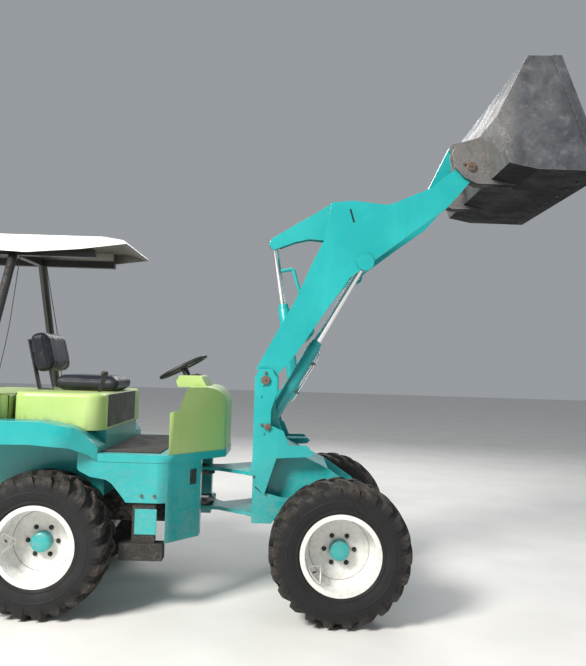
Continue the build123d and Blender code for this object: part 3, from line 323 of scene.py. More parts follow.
def bucket_finish():
    """Bare worn steel: mottled grey-blue, scratches, rust, pale ears and a near-black underside of
    painted shade.
    """
    graph = Graph("bucket_steel", (0.16, 0.17, 0.19), 0.55, 0.55)
    cloud = graph.noise(5, 8, 0.68, warp=0.4)
    patch = graph.noise(13, 8, 0.7)
    scratch = graph.noise(1.0, 8, 0.7, at=graph.stretch((9, 120, 9)))
    fine = graph.noise(90, 6, 0.7)
    skin = graph.mix(graph.spread(cloud, 0.3, 0.72), (0.070, 0.074, 0.084), (0.140, 0.148, 0.162))
    skin = graph.mix(graph.spread(scratch, 0.5, 0.72, 0.0, 0.5), skin, (0.23, 0.24, 0.26))
    rust = graph.times(graph.spread(patch, 0.5, 0.66), graph.spread(fine, 0.35, 0.6))
    skin = graph.mix(graph.times(rust, 0.22), skin, (0.12, 0.075, 0.050))
    # Corners and gaps go darker brown: packed dirt and painted shade together.
    skin = graph.mix(graph.times(graph.crevice(0.09), 0.6), skin, (0.055, 0.04, 0.03))
    bright = graph.times(graph.edge(0.008), graph.spread(fine, 0.42, 0.6))
    skin = graph.mix(graph.times(bright, 0.75), skin, (0.38, 0.38, 0.39))
    ears = graph.spread(graph.axis("X"), 2.00, 1.86)
    back = graph.times(ears, graph.spread(fine, 0.3, 0.6, 0.25, 0.7))
    skin = graph.mix(back, skin, (0.285, 0.270, 0.255))
    # Painted shade: the underside goes near-black and loses its shine and metal.
    below = graph.facing(-0.45, -0.75)
    skin = graph.mix(graph.times(below, 0.96), skin, (0.006, 0.006, 0.006))
    graph.put(graph.shader.inputs["Specular IOR Level"], graph.spread(below, 0.0, 1.0, 0.5, 0.08))
    graph.colour(skin)
    graph.rough(graph.spread(cloud, 0.3, 0.7, 0.42, 0.74))
    above = graph.spread(below, 0.0, 1.0, 1.0, 0.0)
    graph.metal(graph.times(graph.spread(rust, 0.0, 0.8, 0.6, 0.05), above))
    graph.bump(cloud, 0.006, 0.5)
    graph.bump(fine, 0.0006, 0.5)
    return graph.material


def rubber(name, base, dust, dust_share):
    """Black rubber with dried dust in patches, and painted shade in its corners."""
    rough = 0.78
    graph = Graph(name, base, rough)
    cloud = graph.noise(9, 6, 0.6)
    grit = graph.noise(70, 5, 0.7)
    share = graph.times(graph.spread(cloud, 0.35, 0.72), graph.spread(grit, 0.35, 0.65))
    skin = graph.mix(graph.times(share, dust_share), base, dust)
    # Painted shade: corners and gaps take a darker tone of the base.
    skin = graph.mix(graph.times(graph.crevice(0.02), 0.5), skin, shade(base, 0.4))
    graph.colour(skin)
    graph.rough(graph.spread(cloud, 0.3, 0.75, rough - 0.14, rough + 0.12))
    graph.shader.inputs["Specular IOR Level"].default_value = 0.35
    graph.bump(grit, 0.0008, 0.5)
    return graph.material


def tread_finish():
    """Tyre rubber, black on the side walls, with brown dust dried on the tread."""
    graph = Graph("tyre_rubber", (0.022, 0.022, 0.023), 0.78)
    square = []
    along = graph.maths("ABSOLUTE", graph.axis("X"))
    for value, centre in ((along, WHEEL_X), (graph.axis("Z"), WHEEL_Z)):
        gap = graph.maths("SUBTRACT", value, centre, clamp=False)
        square.append(graph.maths("MULTIPLY", gap, gap, clamp=False))
    radius = graph.maths("SQRT", graph.maths("ADD", *square))
    outer = graph.spread(radius, 0.365, 0.425)
    grit = graph.noise(60, 7, 0.7)
    cloud = graph.noise(7, 5, 0.6)
    top = graph.times(outer, graph.spread(grit, 0.36, 0.62))
    top = graph.times(top, graph.spread(cloud, 0.28, 0.72, 0.08, 0.50))
    wall = graph.times(graph.spread(cloud, 0.42, 0.75), graph.spread(grit, 0.4, 0.7))
    skin = graph.mix(graph.times(wall, 0.28), (0.008, 0.008, 0.009), (0.060, 0.052, 0.045))
    skin = graph.mix(top, skin, (0.150, 0.120, 0.092))
    skin = graph.mix(graph.times(graph.crevice(0.03), 0.55), skin, (0.035, 0.028, 0.022))
    graph.colour(skin)
    graph.rough(graph.spread(cloud, 0.3, 0.75, 0.62, 0.9))
    graph.shader.inputs["Specular IOR Level"].default_value = 0.4
    graph.bump(grit, 0.0009, 0.5)
    return graph.material


def steel(name, base, rough, rust_share):
    """Dull steel with rust in patches."""
    graph = Graph(name, base, rough, 0.85)
    patch = graph.noise(24, 7, 0.7)
    fine = graph.noise(150, 5, 0.7)
    rust = graph.times(graph.spread(patch, 0.42, 0.62), rust_share)
    graph.colour(graph.mix(rust, base, (0.13, 0.06, 0.03)))
    graph.metal(graph.spread(rust, 0.0, 0.8, 0.9, 0.1))
    graph.rough(graph.spread(patch, 0.3, 0.7, rough, rough + 0.25))
    graph.bump(fine, 0.0004, 0.4)
    return graph.material


def chrome():
    """Plated rods, faintly wiped along their length."""
    bright = (0.82, 0.83, 0.84)
    graph = Graph("rod_chrome", bright, 0.12, 1.0)
    wipe = graph.noise(1.0, 5, 0.6, at=graph.stretch((14, 14, 60)))
    graph.rough(graph.spread(wipe, 0.35, 0.75, 0.08, 0.22))
    graph.colour(graph.mix(graph.spread(wipe, 0.5, 0.8, 0.0, 0.3), bright, (0.55, 0.54, 0.52)))
    return graph.material


def vinyl():
    """Seat cover: grained vinyl with creases, dusty in the folds."""
    graph = Graph("seat_vinyl", (0.022, 0.022, 0.030), 0.42)
    grain = graph.cells(420)
    crease = graph.noise(16, 6, 0.6, warp=0.7)
    cloud = graph.noise(6, 4)
    worn = graph.spread(cloud, 0.4, 0.75, 0.0, 0.4)
    skin = graph.mix(worn, (0.010, 0.012, 0.022), (0.034, 0.036, 0.050))
    skin = graph.mix(graph.times(graph.crevice(0.02), 0.45), skin, (0.09, 0.08, 0.065))
    graph.colour(skin)
    graph.rough(graph.spread(crease, 0.3, 0.7, 0.36, 0.56))
    graph.bump(grain, 0.0006, 0.5)
    graph.bump(crease, 0.004, 0.3)
    return graph.material


def plastic(name, base, rough=0.45, grain=0.0004):
    """Moulded plastic with a fine grain and a cloudy bloom."""
    graph = Graph(name, base, rough)
    cloud = graph.noise(11, 5, 0.6)
    graph.colour(graph.mix(graph.spread(cloud, 0.4, 0.8, 0.0, 0.5), base, shade(base, 1.8, 0.03)))
    graph.rough(graph.spread(cloud, 0.3, 0.7, rough - 0.06, rough + 0.14))
    graph.bump(graph.cells(300), grain, 0.5)
    return graph.material


MATERIALS = {
    "teal_paint": paint("teal_paint", (0.006, 0.315, 0.320), (0.016, 0.385, 0.385)),
    "lime_panel": paint(
        "lime_panel", (0.37, 0.52, 0.150), (0.44, 0.57, 0.21), rough=0.40, dust=0.30, chips=0.12,
    ),
    "white_paint": paint(
        "white_paint", (0.78, 0.78, 0.76), (0.70, 0.69, 0.66), rough=0.38, dust=0.30, chips=0.9,
    ),
    "roof_white": paint(
        "roof_white", (0.80, 0.81, 0.78), (0.68, 0.69, 0.66), rough=0.52, dust=0.35, chips=0.1,
        # Painted shade on the roof's underside and in its hollows.
        dust_colour=(0.36, 0.35, 0.31), underside_shade=(0.085, 0.075, 0.060),
    ),
    "black_paint": paint(
        "black_paint", (0.014, 0.014, 0.015), (0.024, 0.024, 0.025),
        rough=0.36, dust=0.45, chips=0.6,
    ),
    "tyre_rubber": tread_finish(),
    "bucket_steel": bucket_finish(),
    "pin_steel": steel("pin_steel", (0.20, 0.16, 0.14), 0.50, 0.8),
    "rod_chrome": chrome(),
    "seat_vinyl": vinyl(),
    "black_rubber": rubber("black_rubber", (0.022, 0.022, 0.022), (0.16, 0.13, 0.10), 0.5),
    "black_plastic": plastic("black_plastic", (0.018, 0.018, 0.019)),
    "engine_grey": steel("engine_grey", (0.07, 0.07, 0.07), 0.6, 0.35),
    "lamp_red": plastic("lamp_red", (0.42, 0.012, 0.010), 0.15, 0.0003),
}


WELD_REACH = 0.00002
FLAT_ANGLE = 0.5
EDGE_WIDTH = 0.0022
SHARP_ANGLE = 32


def finish_nodes():
    """Give every CAD node its slot's material and small rounded edges."""
    slots = {row["node"]: row["material_slot"] for row in frame["record"]["subparts"]}
    for name, node in NODES.items():
        node.data.materials.clear()
        node.data.materials.append(MATERIALS[slots[name]])
        if name.startswith("tyre_"):
            continue
        weld = node.modifiers.new("weld", "WELD")
        weld.merge_threshold = WELD_REACH
        flat = node.modifiers.new("flat", "DECIMATE")
        flat.decimate_type = "DISSOLVE"
        flat.angle_limit = radians(FLAT_ANGLE)
        flat.use_dissolve_boundaries = False
        round_edges(node, EDGE_WIDTH)


def round_edges(thing, width):
    """Round a piece's sharp edges in two steps."""
    bevel = thing.modifiers.new("bevel", "BEVEL")
    bevel.width = width
    bevel.segments = 2
    bevel.limit_method = "ANGLE"
    bevel.angle_limit = radians(SHARP_ANGLE)
    bevel.use_clamp_overlap = True
    bevel.harden_normals = True


# Pieces

def piece(name, points, faces, slot, body, bevel=0.0, smooth=SHARP_ANGLE):
    """A new mesh in metres in the shared frame, riding on a body."""
    mesh = bpy.data.meshes.new(name)
    mesh.from_pydata([tuple(point) for point in points], [], faces)
    mesh.validate()
    grid = bmesh.new()
    grid.from_mesh(mesh)
    bmesh.ops.recalc_face_normals(grid, faces=grid.faces)
    grid.to_mesh(mesh)
    grid.free()
    mesh.shade_smooth()
    mesh.set_sharp_from_angle(angle=radians(smooth))
    mesh.materials.append(MATERIALS[slot])
    thing = bpy.data.objects.new(name, mesh)
    bpy.context.scene.collection.objects.link(thing)
    if bevel:
        round_edges(thing, bevel)
    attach(thing, body)
    return thing


def lathe(profile, steps):
    """Points and faces of a closed (radius, outboard) profile turned about the Y axis."""
    points = []
    faces = []
    count = len(profile)
    for step in range(steps):
        turn = 2 * pi * step / steps
        for radius, outboard in profile:
            points.append((radius * cos(turn), outboard, radius * sin(turn)))
    for step in range(steps):
        after = (step + 1) % steps
        here, there = step * count, after * count
        for row in range(count):
            below = (row + 1) % count
            faces.append((here + row, here + below, there + below, there + row))
    return points, faces


# Tyres

CARCASS = [  # radius, outboard: half of the carcass, from the bead to the crown
    (0.2300, 0.132), (0.2380, 0.139), (0.2520, 0.141), (0.2600, 0.1445), (0.2640, 0.1500),
    (0.2700, 0.1515), (0.2760, 0.1500), (0.2950, 0.1580), (0.3180, 0.1622), (0.3255, 0.1628),
    (0.3280, 0.1647), (0.3330, 0.1648), (0.3355, 0.1634), (0.3450, 0.1640), (0.3700, 0.1610),
    (0.3880, 0.1550), (0.4000, 0.1450), (0.4090, 0.1260), (0.4140, 0.0950), (0.4165, 0.0500),
    (0.4170, 0.0000),
]
CARCASS_STEPS = 110
LUG = [  # outboard, base radius, top radius, turn in degrees, width along the turn in metres
    (-0.012, 0.4155, 0.4440, -3.4, 0.040),
    (0.020, 0.4155, 0.4446, 0.0, 0.040),
    (0.055, 0.4150, 0.4440, 3.2, 0.042),
    (0.090, 0.4130, 0.4415, 6.2, 0.046),
    (0.120, 0.4080, 0.4370, 8.4, 0.052),
    (0.146, 0.3960, 0.4300, 10.0, 0.057),
    (0.1595, 0.3850, 0.4180, 11.0, 0.060),
    (0.1640, 0.3640, 0.3950, 12.0, 0.060),
    (0.1645, 0.3440, 0.3620, 12.8, 0.056),
]
LUG_FOOT = 0.62  # half widths as shares of the table's width
LUG_CREST = 0.40
LUG_PROUD = 0.0008  # how far a lug's crest stands out on the side wall
SHOULDER = 0.15
LUG_COUNT = 22
LUG_START = 8.84  # degrees, so that the lugs lie over those of the CAD tyre


def tyre_shape():
    """One left tyre at the origin: its carcass and two rows of slanted lugs, half a pitch apart."""
    other = [(radius, -outboard) for radius, outboard in reversed(CARCASS[:-1])]
    points, faces = lathe(CARCASS + other, CARCASS_STEPS)
    for side in (1, -1):
        for number in range(LUG_COUNT):
            start = LUG_START + 360 / LUG_COUNT * (number + (0.5 if side < 0 else 0.0))
            first = len(points)
            for outboard, base, top, turn, width in LUG:
                for radius, half in (
                    (base, LUG_FOOT), (top, LUG_CREST), (top, -LUG_CREST), (base, -LUG_FOOT),
                ):
                    angle = radians(start - turn) + half * width / top
                    reach = outboard
                    if radius == top and outboard > SHOULDER:
                        reach += LUG_PROUD
                    points.append((radius * cos(angle), side * reach, radius * sin(angle)))
            last = len(LUG) - 1
            for row in range(last):
                a = first + 4 * row
                for column in range(3):
                    faces.append((a + column, a + column + 1, a + column + 5, a + column + 4))
            faces.append(tuple(first + k for k in range(4)))
            faces.append(tuple(first + 4 * last + k for k in range(4)))
    return points, faces


def tyres():
    """The four dressed tyres, in place of the plainer CAD ones."""
    points, faces = tyre_shape()
    for end, hand, x, y in WHEELS:
        side = 1 if y > 0 else -1
        placed = [(x + px, y + side * py, WHEEL_Z + pz) for px, py, pz in points]
        tyre = piece(
            f"tyre_{end}_{hand}_lugs", placed, faces, "tyre_rubber", f"wheel_{end}_{hand}",
            bevel=0.003, smooth=40,
        )
        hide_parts(f"tyre_{end}_{hand}")


# Small round and bent parts

def frame_along(direction):
    """Two unit vectors square to a direction."""
    direction = Vector(direction).normalized()
    helper = Vector((0, 0, 1)) if abs(direction.z) < 0.9 else Vector((1, 0, 0))
    across = direction.cross(helper).normalized()
    return across, direction.cross(across).normalized()


def turned(profile, place, direction, steps):
    """Points and faces of a (radius, along) profile turned about a direction, its ends closed."""
    across, over = frame_along(direction)
    direction = Vector(direction).normalized()
    points = []
    faces = []
    for radius, along in profile:
        for step in range(steps):
            turn = 2 * pi * step / steps
            out = across * cos(turn) + over * sin(turn)
            points.append(Vector(place) + direction * along + out * radius)
    for row in range(len(profile) - 1):
        here, there = row * steps, (row + 1) * steps
        for step in range(steps):
            after = (step + 1) % steps
            faces.append((here + step, here + after, there + after, there + step))
    faces.append(tuple(range(steps)))
    faces.append(tuple(range((len(profile) - 1) * steps, len(profile) * steps)))
    return points, faces


def joined(parts):
    """Several (points, faces) as one."""
    points = []
    faces = []
    for more_points, more_faces in parts:
        shift = len(points)
        points.extend(more_points)
        faces.extend(tuple(index + shift for index in face) for face in more_faces)
    return points, faces


WASHER_TOP = 0.0025


def bolt(place, direction, across_flats):
    """A washer and a hexagon head, standing on a face."""
    washer_radius = across_flats * 0.62
    washer = turned([(washer_radius, -0.001), (washer_radius, WASHER_TOP)], place, direction, 20)
    corner = across_flats / 2 / cos(pi / 6)
    chamfer = WASHER_TOP + across_flats * 0.5
    crown = WASHER_TOP + across_flats * 0.58
    rows = [(corner, WASHER_TOP), (corner, chamfer), (corner * 0.86, crown)]
    return joined([washer, turned(rows, place, direction, 6)])


def evaluated(thing):
    """A mesh of what an object shows with its modifiers."""
    depsgraph = bpy.context.evaluated_depsgraph_get()
    return bpy.data.meshes.new_from_object(thing.evaluated_get(depsgraph))


def tube(name, points, radius, slot, body, closed=False):
    """A bent tube or bar along a smooth line through the given control points."""
    curve = bpy.data.curves.new(name, "CURVE")
    curve.dimensions = "3D"
    curve.bevel_depth = radius
    curve.bevel_resolution = 4
    curve.resolution_u = 8
    curve.use_fill_caps = True
    spline = curve.splines.new("NURBS")
    spline.points.add(len(points) - 1)
    for point, place in zip(spline.points, points):
        point.co = (*place, 1)
    spline.order_u = 3
    if closed:
        spline.use_cyclic_u = True
    else:
        spline.use_endpoint_u = True
    holder = bpy.data.objects.new(name + "_line", curve)
    bpy.context.scene.collection.objects.link(holder)
    mesh = evaluated(holder)
    bpy.data.objects.remove(holder)
    corners = [tuple(v.co) for v in mesh.vertices]
    faces = [tuple(f.vertices) for f in mesh.polygons]
    return piece(name, corners, faces, slot, body, smooth=50)


BEAD_SIDES = 6
BEAD_RIPPLE = 0.16
RIPPLES = 900  # for each metre of radius


def weld_ring(place, direction, radius, bead=0.0045):
    """A rippled bead round a tube's end or a seam."""
    across, over = frame_along(direction)
    direction = Vector(direction).normalized()
    steps = max(28, int(radius * RIPPLES))
    points = []
    faces = []
    for step in range(steps):
        turn = 2 * pi * step / steps
        out = across * cos(turn) + over * sin(turn)
        size = bead * (1.0 + BEAD_RIPPLE * (step % 2))
        for side in range(BEAD_SIDES):
            lean = 2 * pi * side / BEAD_SIDES
            reach = out * (radius + size * cos(lean) * 0.9)
            points.append(Vector(place) + reach + direction * size * sin(lean))
    for step in range(steps):
        here, there = step * BEAD_SIDES, (step + 1) % steps * BEAD_SIDES
        for side in range(BEAD_SIDES):
            beside = (side + 1) % BEAD_SIDES
            faces.append((here + side, here + beside, there + beside, there + side))
    return points, faces


BOX_FACES = [(0, 1, 2, 3), (7, 6, 5, 4), (0, 4, 5, 1), (1, 5, 6, 2), (2, 6, 7, 3), (3, 7, 4, 0)]


def slab(outline, low, high):
    """Points and faces between two y values from four (x, z) corners."""
    return [(x, y, z) for y in (low, high) for x, z in outline], BOX_FACES


def block(x, y, z):
    """Points and faces of a plain block, for pieces that get rounded edges."""
    points = [(x[i], y[j], z[k]) for i in (0, 1) for j in (0, 1) for k in (0, 1)]
    faces = [(0, 1, 3, 2), (4, 6, 7, 5), (0, 4, 5, 1), (2, 3, 7, 6), (0, 2, 6, 4), (1, 5, 7, 3)]
    return points, faces


# Wheel fittings

DISC_OUT = -0.034  # the disc's face, outboard of the wheel's middle
DISC_FLAT = 0.190
NUT_COUNT = 6
NUT_CIRCLE = 0.095
NUT_SUNK = 0.006
NUT = [(0.0135, 0), (0.0135, 0.014), (0.0115, 0.017)]
STUD = [(0.0065, 0.0), (0.0065, 0.024), (0.005, 0.026)]
HUB_CAP = [(0.060, 0.0), (0.060, 0.004), (0.052, 0.010), (0.030, 0.0135), (0.0, 0.0145)]
HUB_FACE = 0.0545  # the hub's end, outboard of the disc's face
GUARD_WIRE = 0.0045
# Wire points: radius, radians from the valve, outboard
GUARD = [(0.212, -0.30, 0.115), (0.150, -0.02, 0.02), (0.150, 0.04, 0.02), (0.212, 0.30, 0.115)]
GUARD_BAR = [
    (0.214, -0.30, 0.118), (0.214, -0.1, 0.122), (0.214, 0.1, 0.122), (0.214, 0.30, 0.118),
]
VALVE = [(0.006, 0), (0.006, 0.028), (0.004, 0.040)]
VALVE_TURN = {"front": 218, "rear": 176}  # degrees round the wheel


def wheel_fittings():
    """Nuts and studs, the hub's cap, the disc's seam and the valve on each wheel."""
    for end, hand, x, y in WHEELS:
        side = 1 if y > 0 else -1
        body = f"wheel_{end}_{hand}"
        face_y = y + side * DISC_OUT
        nuts = []
        out = (0, side, 0)
        for number in range(NUT_COUNT):
            turn = radians(360 / NUT_COUNT * number)
            across, over = NUT_CIRCLE * cos(turn), NUT_CIRCLE * sin(turn)
            place = (x + across, face_y - side * NUT_SUNK, WHEEL_Z + over)
            nuts.append(turned(NUT, place, out, 6))
            nuts.append(turned(STUD, place, out, 12))
        piece(f"wheel_nuts_{end}_{hand}", *joined(nuts), "engine_grey", body, bevel=FINE_EDGE)
        cap = turned(HUB_CAP, (x, y + side * (DISC_OUT + HUB_FACE), WHEEL_Z), out, 48)
        piece(f"hub_cap_{end}_{hand}", *cap, "teal_paint", body, bevel=0.0015)
        seam = weld_ring((x, face_y, WHEEL_Z), (0, 1, 0), DISC_FLAT, 0.0014)
        piece(f"disc_seam_{end}_{hand}", *seam, "engine_grey", body, smooth=60)
        valve_guard(end, hand, x, y, side, body)


def valve_guard(end, hand, x, y, side, body):
    """The tyre's valve inside the rim, and the bent wire loop that shields it."""
    middle = radians(VALVE_TURN[end])

    def at(radius, lean, out):
        """A point beside the valve."""
        turn = middle + lean
        return Vector((x + radius * cos(turn), y + side * out, WHEEL_Z + radius * sin(turn)))

    for name, rows in (("valve_guard", GUARD), ("valve_guard_bar", GUARD_BAR)):
        line = [at(*row) for row in rows]
        tube(f"{name}_{end}_{hand}", line, GUARD_WIRE, "white_paint", body)
    stem, tip = at(0.205, 0, 0.05), at(0.180, 0, 0.085)
    piece(f"tyre_valve_{end}_{hand}", *turned(VALVE, stem, tip - stem, 12), "pin_steel", body)


# Seat

SOFT_CUTS = 9
VOXEL = 0.007
PRESSURE = 4.0
PUFF_CAP = 0.012
CLOTH_STIFFNESS = 25
CLOTH_FRAMES = 20
SEAM_REACH = 0.012
SEAM_DEPTH = 0.006
PIPING_STEPS = 48
PIPING_RADIUS = 0.0038


def soft_block(length, width, height, corner):
    """A rounded block with many small faces, its middle at the origin."""
    grid = bmesh.new()
    bmesh.ops.create_cube(grid, size=1.0)
    bmesh.ops.subdivide_edges(grid, edges=grid.edges, cuts=SOFT_CUTS, use_grid_fill=True)
    half = Vector((length / 2, width / 2, height / 2))
    for vertex in grid.verts:
        place = Vector(vertex.co[i] * 2 * half[i] for i in range(3))
        core = Vector(max(-half[i] + corner, min(half[i] - corner, place[i])) for i in range(3))
        away = place - core
        if away.length > 1e-6:
            place = core + away.normalized() * corner
        vertex.co = place
    mesh = bpy.data.meshes.new("soft_block")
    grid.to_mesh(mesh)
    grid.free()
    return mesh


def puff(thing):
    """Swell a closed mesh with a short cloth simulation, no point moving further than a cap."""
    remesh = thing.modifiers.new("remesh", "REMESH")
    remesh.mode = "VOXEL"
    remesh.voxel_size = VOXEL
    bake(thing)
    rest = [vertex.co.copy() for vertex in thing.data.vertices]
    cloth = thing.modifiers.new("cloth", "CLOTH")
    cloth.settings.use_pressure = True
    cloth.settings.uniform_pressure_force = PRESSURE
    cloth.settings.effector_weights.gravity = 0
    cloth.settings.tension_stiffness = CLOTH_STIFFNESS
    cloth.settings.compression_stiffness = CLOTH_STIFFNESS
    cloth.point_cache.frame_start = 1
    cloth.point_cache.frame_end = CLOTH_FRAMES
    for number in range(1, CLOTH_FRAMES + 1):
        bpy.context.scene.frame_set(number)
    bake(thing)
    for vertex, start in zip(thing.data.vertices, rest):
        move = vertex.co - start
        if move.length > PUFF_CAP:
            vertex.co = start + move.normalized() * PUFF_CAP
    bpy.context.scene.frame_set(1)
    smooth = thing.modifiers.new("smooth", "SMOOTH")
    smooth.factor = 0.6
    smooth.iterations = 6
    bake(thing)


def bake(thing):
    """Apply all of a piece's modifiers."""
    mesh = evaluated(thing)
    thing.modifiers.clear()
    thing.data = mesh


def cushion(name, node, size, corner, turn, place, seam_y, piping_z):
    """A padded vinyl cushion: swollen, creased along two sewn seams, with piping round its edge."""
    thing = bpy.data.objects.new(name, soft_block(*size, corner))
    bpy.context.scene.collection.objects.link(thing)
    puff(thing)
    crown = size[2] / 2 * 0.35
    for vertex in thing.data.vertices:
        gap = abs(abs(vertex.co.y) - seam_y)
        if vertex.co.z > crown and gap < SEAM_REACH:
            vertex.co.z -= SEAM_DEPTH * (1 - gap / SEAM_REACH) ** 2
    loop = piping_line(thing, size, piping_z)
    thing.data.transform(Matrix.Translation(place) @ turn)
    thing.data.update()
    thing.data.shade_smooth()
    thing.data.materials.clear()
    thing.data.materials.append(MATERIALS["seat_vinyl"])
    subdivide = thing.modifiers.new("fine", "SUBSURF")
    subdivide.levels = subdivide.render_levels = 1
    bake(thing)
    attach(thing, "rear_frame")
    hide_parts(node)
    placed = [Matrix.Translation(place) @ turn @ point for point in loop]
    tube(name + "_piping", placed, PIPING_RADIUS, "seat_vinyl", "rear_frame", closed=True)


def piping_line(thing, size, height):
    """Points on the cushion's side at one height, found by rays from outside."""
    points = []
    for step in range(PIPING_STEPS):
        turn = 2 * pi * step / PIPING_STEPS
        out = Vector((cos(turn), sin(turn), 0))
        start = out * (size[0] + size[1])
        start.z = height
        hit, place = thing.ray_cast(start, -out)[:2]
        if hit:
            points.append(place + out * 0.0005)
    return points


def seat():
    """Cushion in the CAD solid's room on the cover, and the back on its two uprights."""
    flat = Matrix.Identity(4)
    cushion(
        "seat_cushion_pad", "seat_cushion", (0.452, 0.462, 0.084), 0.036, flat, CUSHION_PLACE,
        seam_y=0.135, piping_z=0.020,
    )
    lean = Matrix.Rotation(radians(-14), 4, "Y")
    face = lean @ Matrix.Rotation(radians(90), 4, "Y")
    cushion(
        "seat_back_pad", "seat_back", (0.284, 0.450, 0.118), 0.044, face, SEAT_BACK_PLACE,
        seam_y=0.125, piping_z=0.024,
    )


# Boom, towers and bucket

CROSS_TUBES = [  # x, z, radius
    (0.690, 1.830, 0.050), (1.150, 2.400, 0.042), (0.925, 2.430, 0.060),
]
HOOK_Y = -0.375
HOOK = [  # x, z
    (0.640, 2.092), (0.622, 2.122), (0.600, 2.205), (0.588, 2.240), (0.560, 2.236), (0.506, 2.224),
]
HOOK_WIDENING = 1.5
# A black plate stands in for the slot's opening: painted shade.
SLOT = [(0.956, 2.657), (0.968, 2.659), (0.995, 2.570), (0.984, 2.566)]  # x, z


def boom_fittings():
    """Welds at the cross tubes and bosses, the hook that guides the hoses and a black plate of
    painted shade for a slot in one arm.
    """
    rings = []
    for x, z, radius in CROSS_TUBES:
        for side in (-1, 1):
            rings.append(weld_ring((x, side * ARM_INNER, z), (0, 1, 0), radius))
    for side in (-1, 1):
        eye = (LIFT_EYE[0], side * ARM_OUTER, LIFT_EYE[1])
        rings.append(weld_ring(eye, (0, 1, 0), 0.058, 0.004))
        foot = (BOOM_FOOT[0], side * (ARM_OUTER + 0.0005), BOOM_FOOT[1])
        rings.append(weld_ring(foot, (0, 1, 0), 0.052, 0.004))
    piece("boom_welds", *joined(rings), "teal_paint", "boom", smooth=60)
    line = [(x, HOOK_Y, z) for x, z in HOOK]
    guide = tube("hose_guide", line, 0.0125, "teal_paint", "boom")
    for vertex in guide.data.vertices:
        vertex.co.y = HOOK_Y + (vertex.co.y - HOOK_Y) * HOOK_WIDENING
    # Painted shade: a thin black plate where the slot opens.
    piece("boom_slot_shade", *slab(SLOT, -0.4012, -0.396), "black_paint", "boom")


NIPPLE = [(0.006, -0.001), (0.006, 0.004), (0.003, 0.011)]
HEAD_NIPPLE = [(0.0055, 0.006), (0.0055, 0.010), (0.003, 0.016)]
BOLT_INSET = 0.012


def pin_head(pin, reach, radius, side, bolt_at):
    """The round end of a pin with its grease nipple, and the bolt beside it."""
    x, z = pin
    out = (0, side, 0)
    place = (x, side * reach, z)
    disc = [(radius, -0.002), (radius, 0.004), (radius - 0.003, 0.006)]
    beside = (x + bolt_at[0], side * (reach - BOLT_INSET), z + bolt_at[1])
    return [
        turned(disc, place, out, 32), turned(HEAD_NIPPLE, place, out, 10), bolt(beside, out, 0.017),
    ]


def pin_fittings():
    """Heads of the linkage's outer pins, and grease nipples on the inner pins' caps."""
    front, bucket = [], []
    for side in (-1, 1):
        front += pin_head(BOOM_FOOT, TOWER_PIN_END, 0.030, side, (0.0, 0.048))
        front += pin_head(LIFT_BASE, TOWER_PIN_END, 0.022, side, (-0.040, 0.012))
        bucket += pin_head(BUCKET_PIN, 0.438, 0.030, side, (-0.044, 0.018))
    piece("front_pin_heads", *joined(front), "pin_steel", "front_frame", bevel=FINE_EDGE)
    piece("bucket_pin_heads", *joined(bucket), "pin_steel", "bucket_pins", bevel=FINE_EDGE)
    for body, (x, z), reach in (("crank_pin", CRANK_PIN, 0.090), ("link_pin", LINK_PIN, 0.065)):
        nipples = [turned(NIPPLE, (x, side * reach, z), (0, side, 0), 10) for side in (-1, 1)]
        piece(f"{body}_nipples", *joined(nipples), "pin_steel", body)


EDGE_BOLTS = 9
EDGE_PITCH = 0.18
EDGE_X = 2.445
EDGE_TOP = 2.8675
EDGE_BOTTOM = 2.8505
PLOUGH_HEAD = [(0.013, -0.001), (0.013, 0.002), (0.010, 0.003)]
BODY_BOLTS = [  # x values, outboard values, z values, direction, across flats
    ((-0.32, -0.24), (0.646,), (0.745,), (0, 1, 0), 0.016),  # skirts
    ((-1.384, -1.294), (0.712, 0.768), (1.210,), (0, 0, 1), 0.014),  # posts' feet
    ((-1.780,), (0.30,), (0.62, 0.84), (-1, 0, 0), 0.030),  # counterweight
]


def fixings():
    """Plough bolts of the cutting edge, and those of the skirts, posts' feet and counterweight."""
    heads = []
    for number in range(EDGE_BOLTS):
        y = EDGE_PITCH * (number - (EDGE_BOLTS - 1) / 2)
        heads.append(turned(PLOUGH_HEAD, (EDGE_X, y, EDGE_TOP), (0, 0, 1), 20))
        heads.append(bolt((EDGE_X, y, EDGE_BOTTOM), (0, 0, -1), 0.018))
    piece("edge_bolts", *joined(heads), "bucket_steel", "bucket", bevel=FINE_EDGE)
    heads = []
    for side in (-1, 1):
        for *places, (dx, dy, dz), across_flats in BODY_BOLTS:
            for x, out, z in product(*places):
                heads.append(bolt((x, side * out, z), (dx, side * dy, dz), across_flats))
    piece("body_bolts", *joined(heads), "pin_steel", "rear_frame", bevel=FINE_EDGE)


def bent_plate(points, across, depth):
    """Points and faces of a flat plate from its outline and its thickness's direction and depth."""
    count = len(points)
    move = Vector(across).normalized() * depth
    corners = [Vector(point) for point in points] + [Vector(point) + move for point in points]
    faces = [tuple(range(count)), tuple(reversed(range(count, 2 * count)))]
    faces += [(a, (a + 1) % count, (a + 1) % count + count, a + count) for a in range(count)]
    return corners, faces


TOOL_BOX_X = (-0.360, -0.222)
TOOL_BOX_OUT = (0.6275, 0.634)
TOOL_BOX_Z = (0.502, 0.661)
COLUMN_SLOT = ((-0.0425, 0.4795), (-0.0065, 0.4335))  # x, outboard
COLUMN_SLOT_Z = (0.795, 0.895)
# The seat's front panel: black plastic that also stands in for the shade on the cover's front.
SEAT_PANEL = ((-0.6005, -0.5965), (-0.45, 0.34), (1.150, 1.362))  # x, y and z from and to
POST_WIRE = [  # x, outboard, z
    (-1.300, 0.262, 2.300), (-1.279, 0.391, 2.000), (-1.258, 0.520, 1.700), (-1.268, 0.735, 1.215),
]


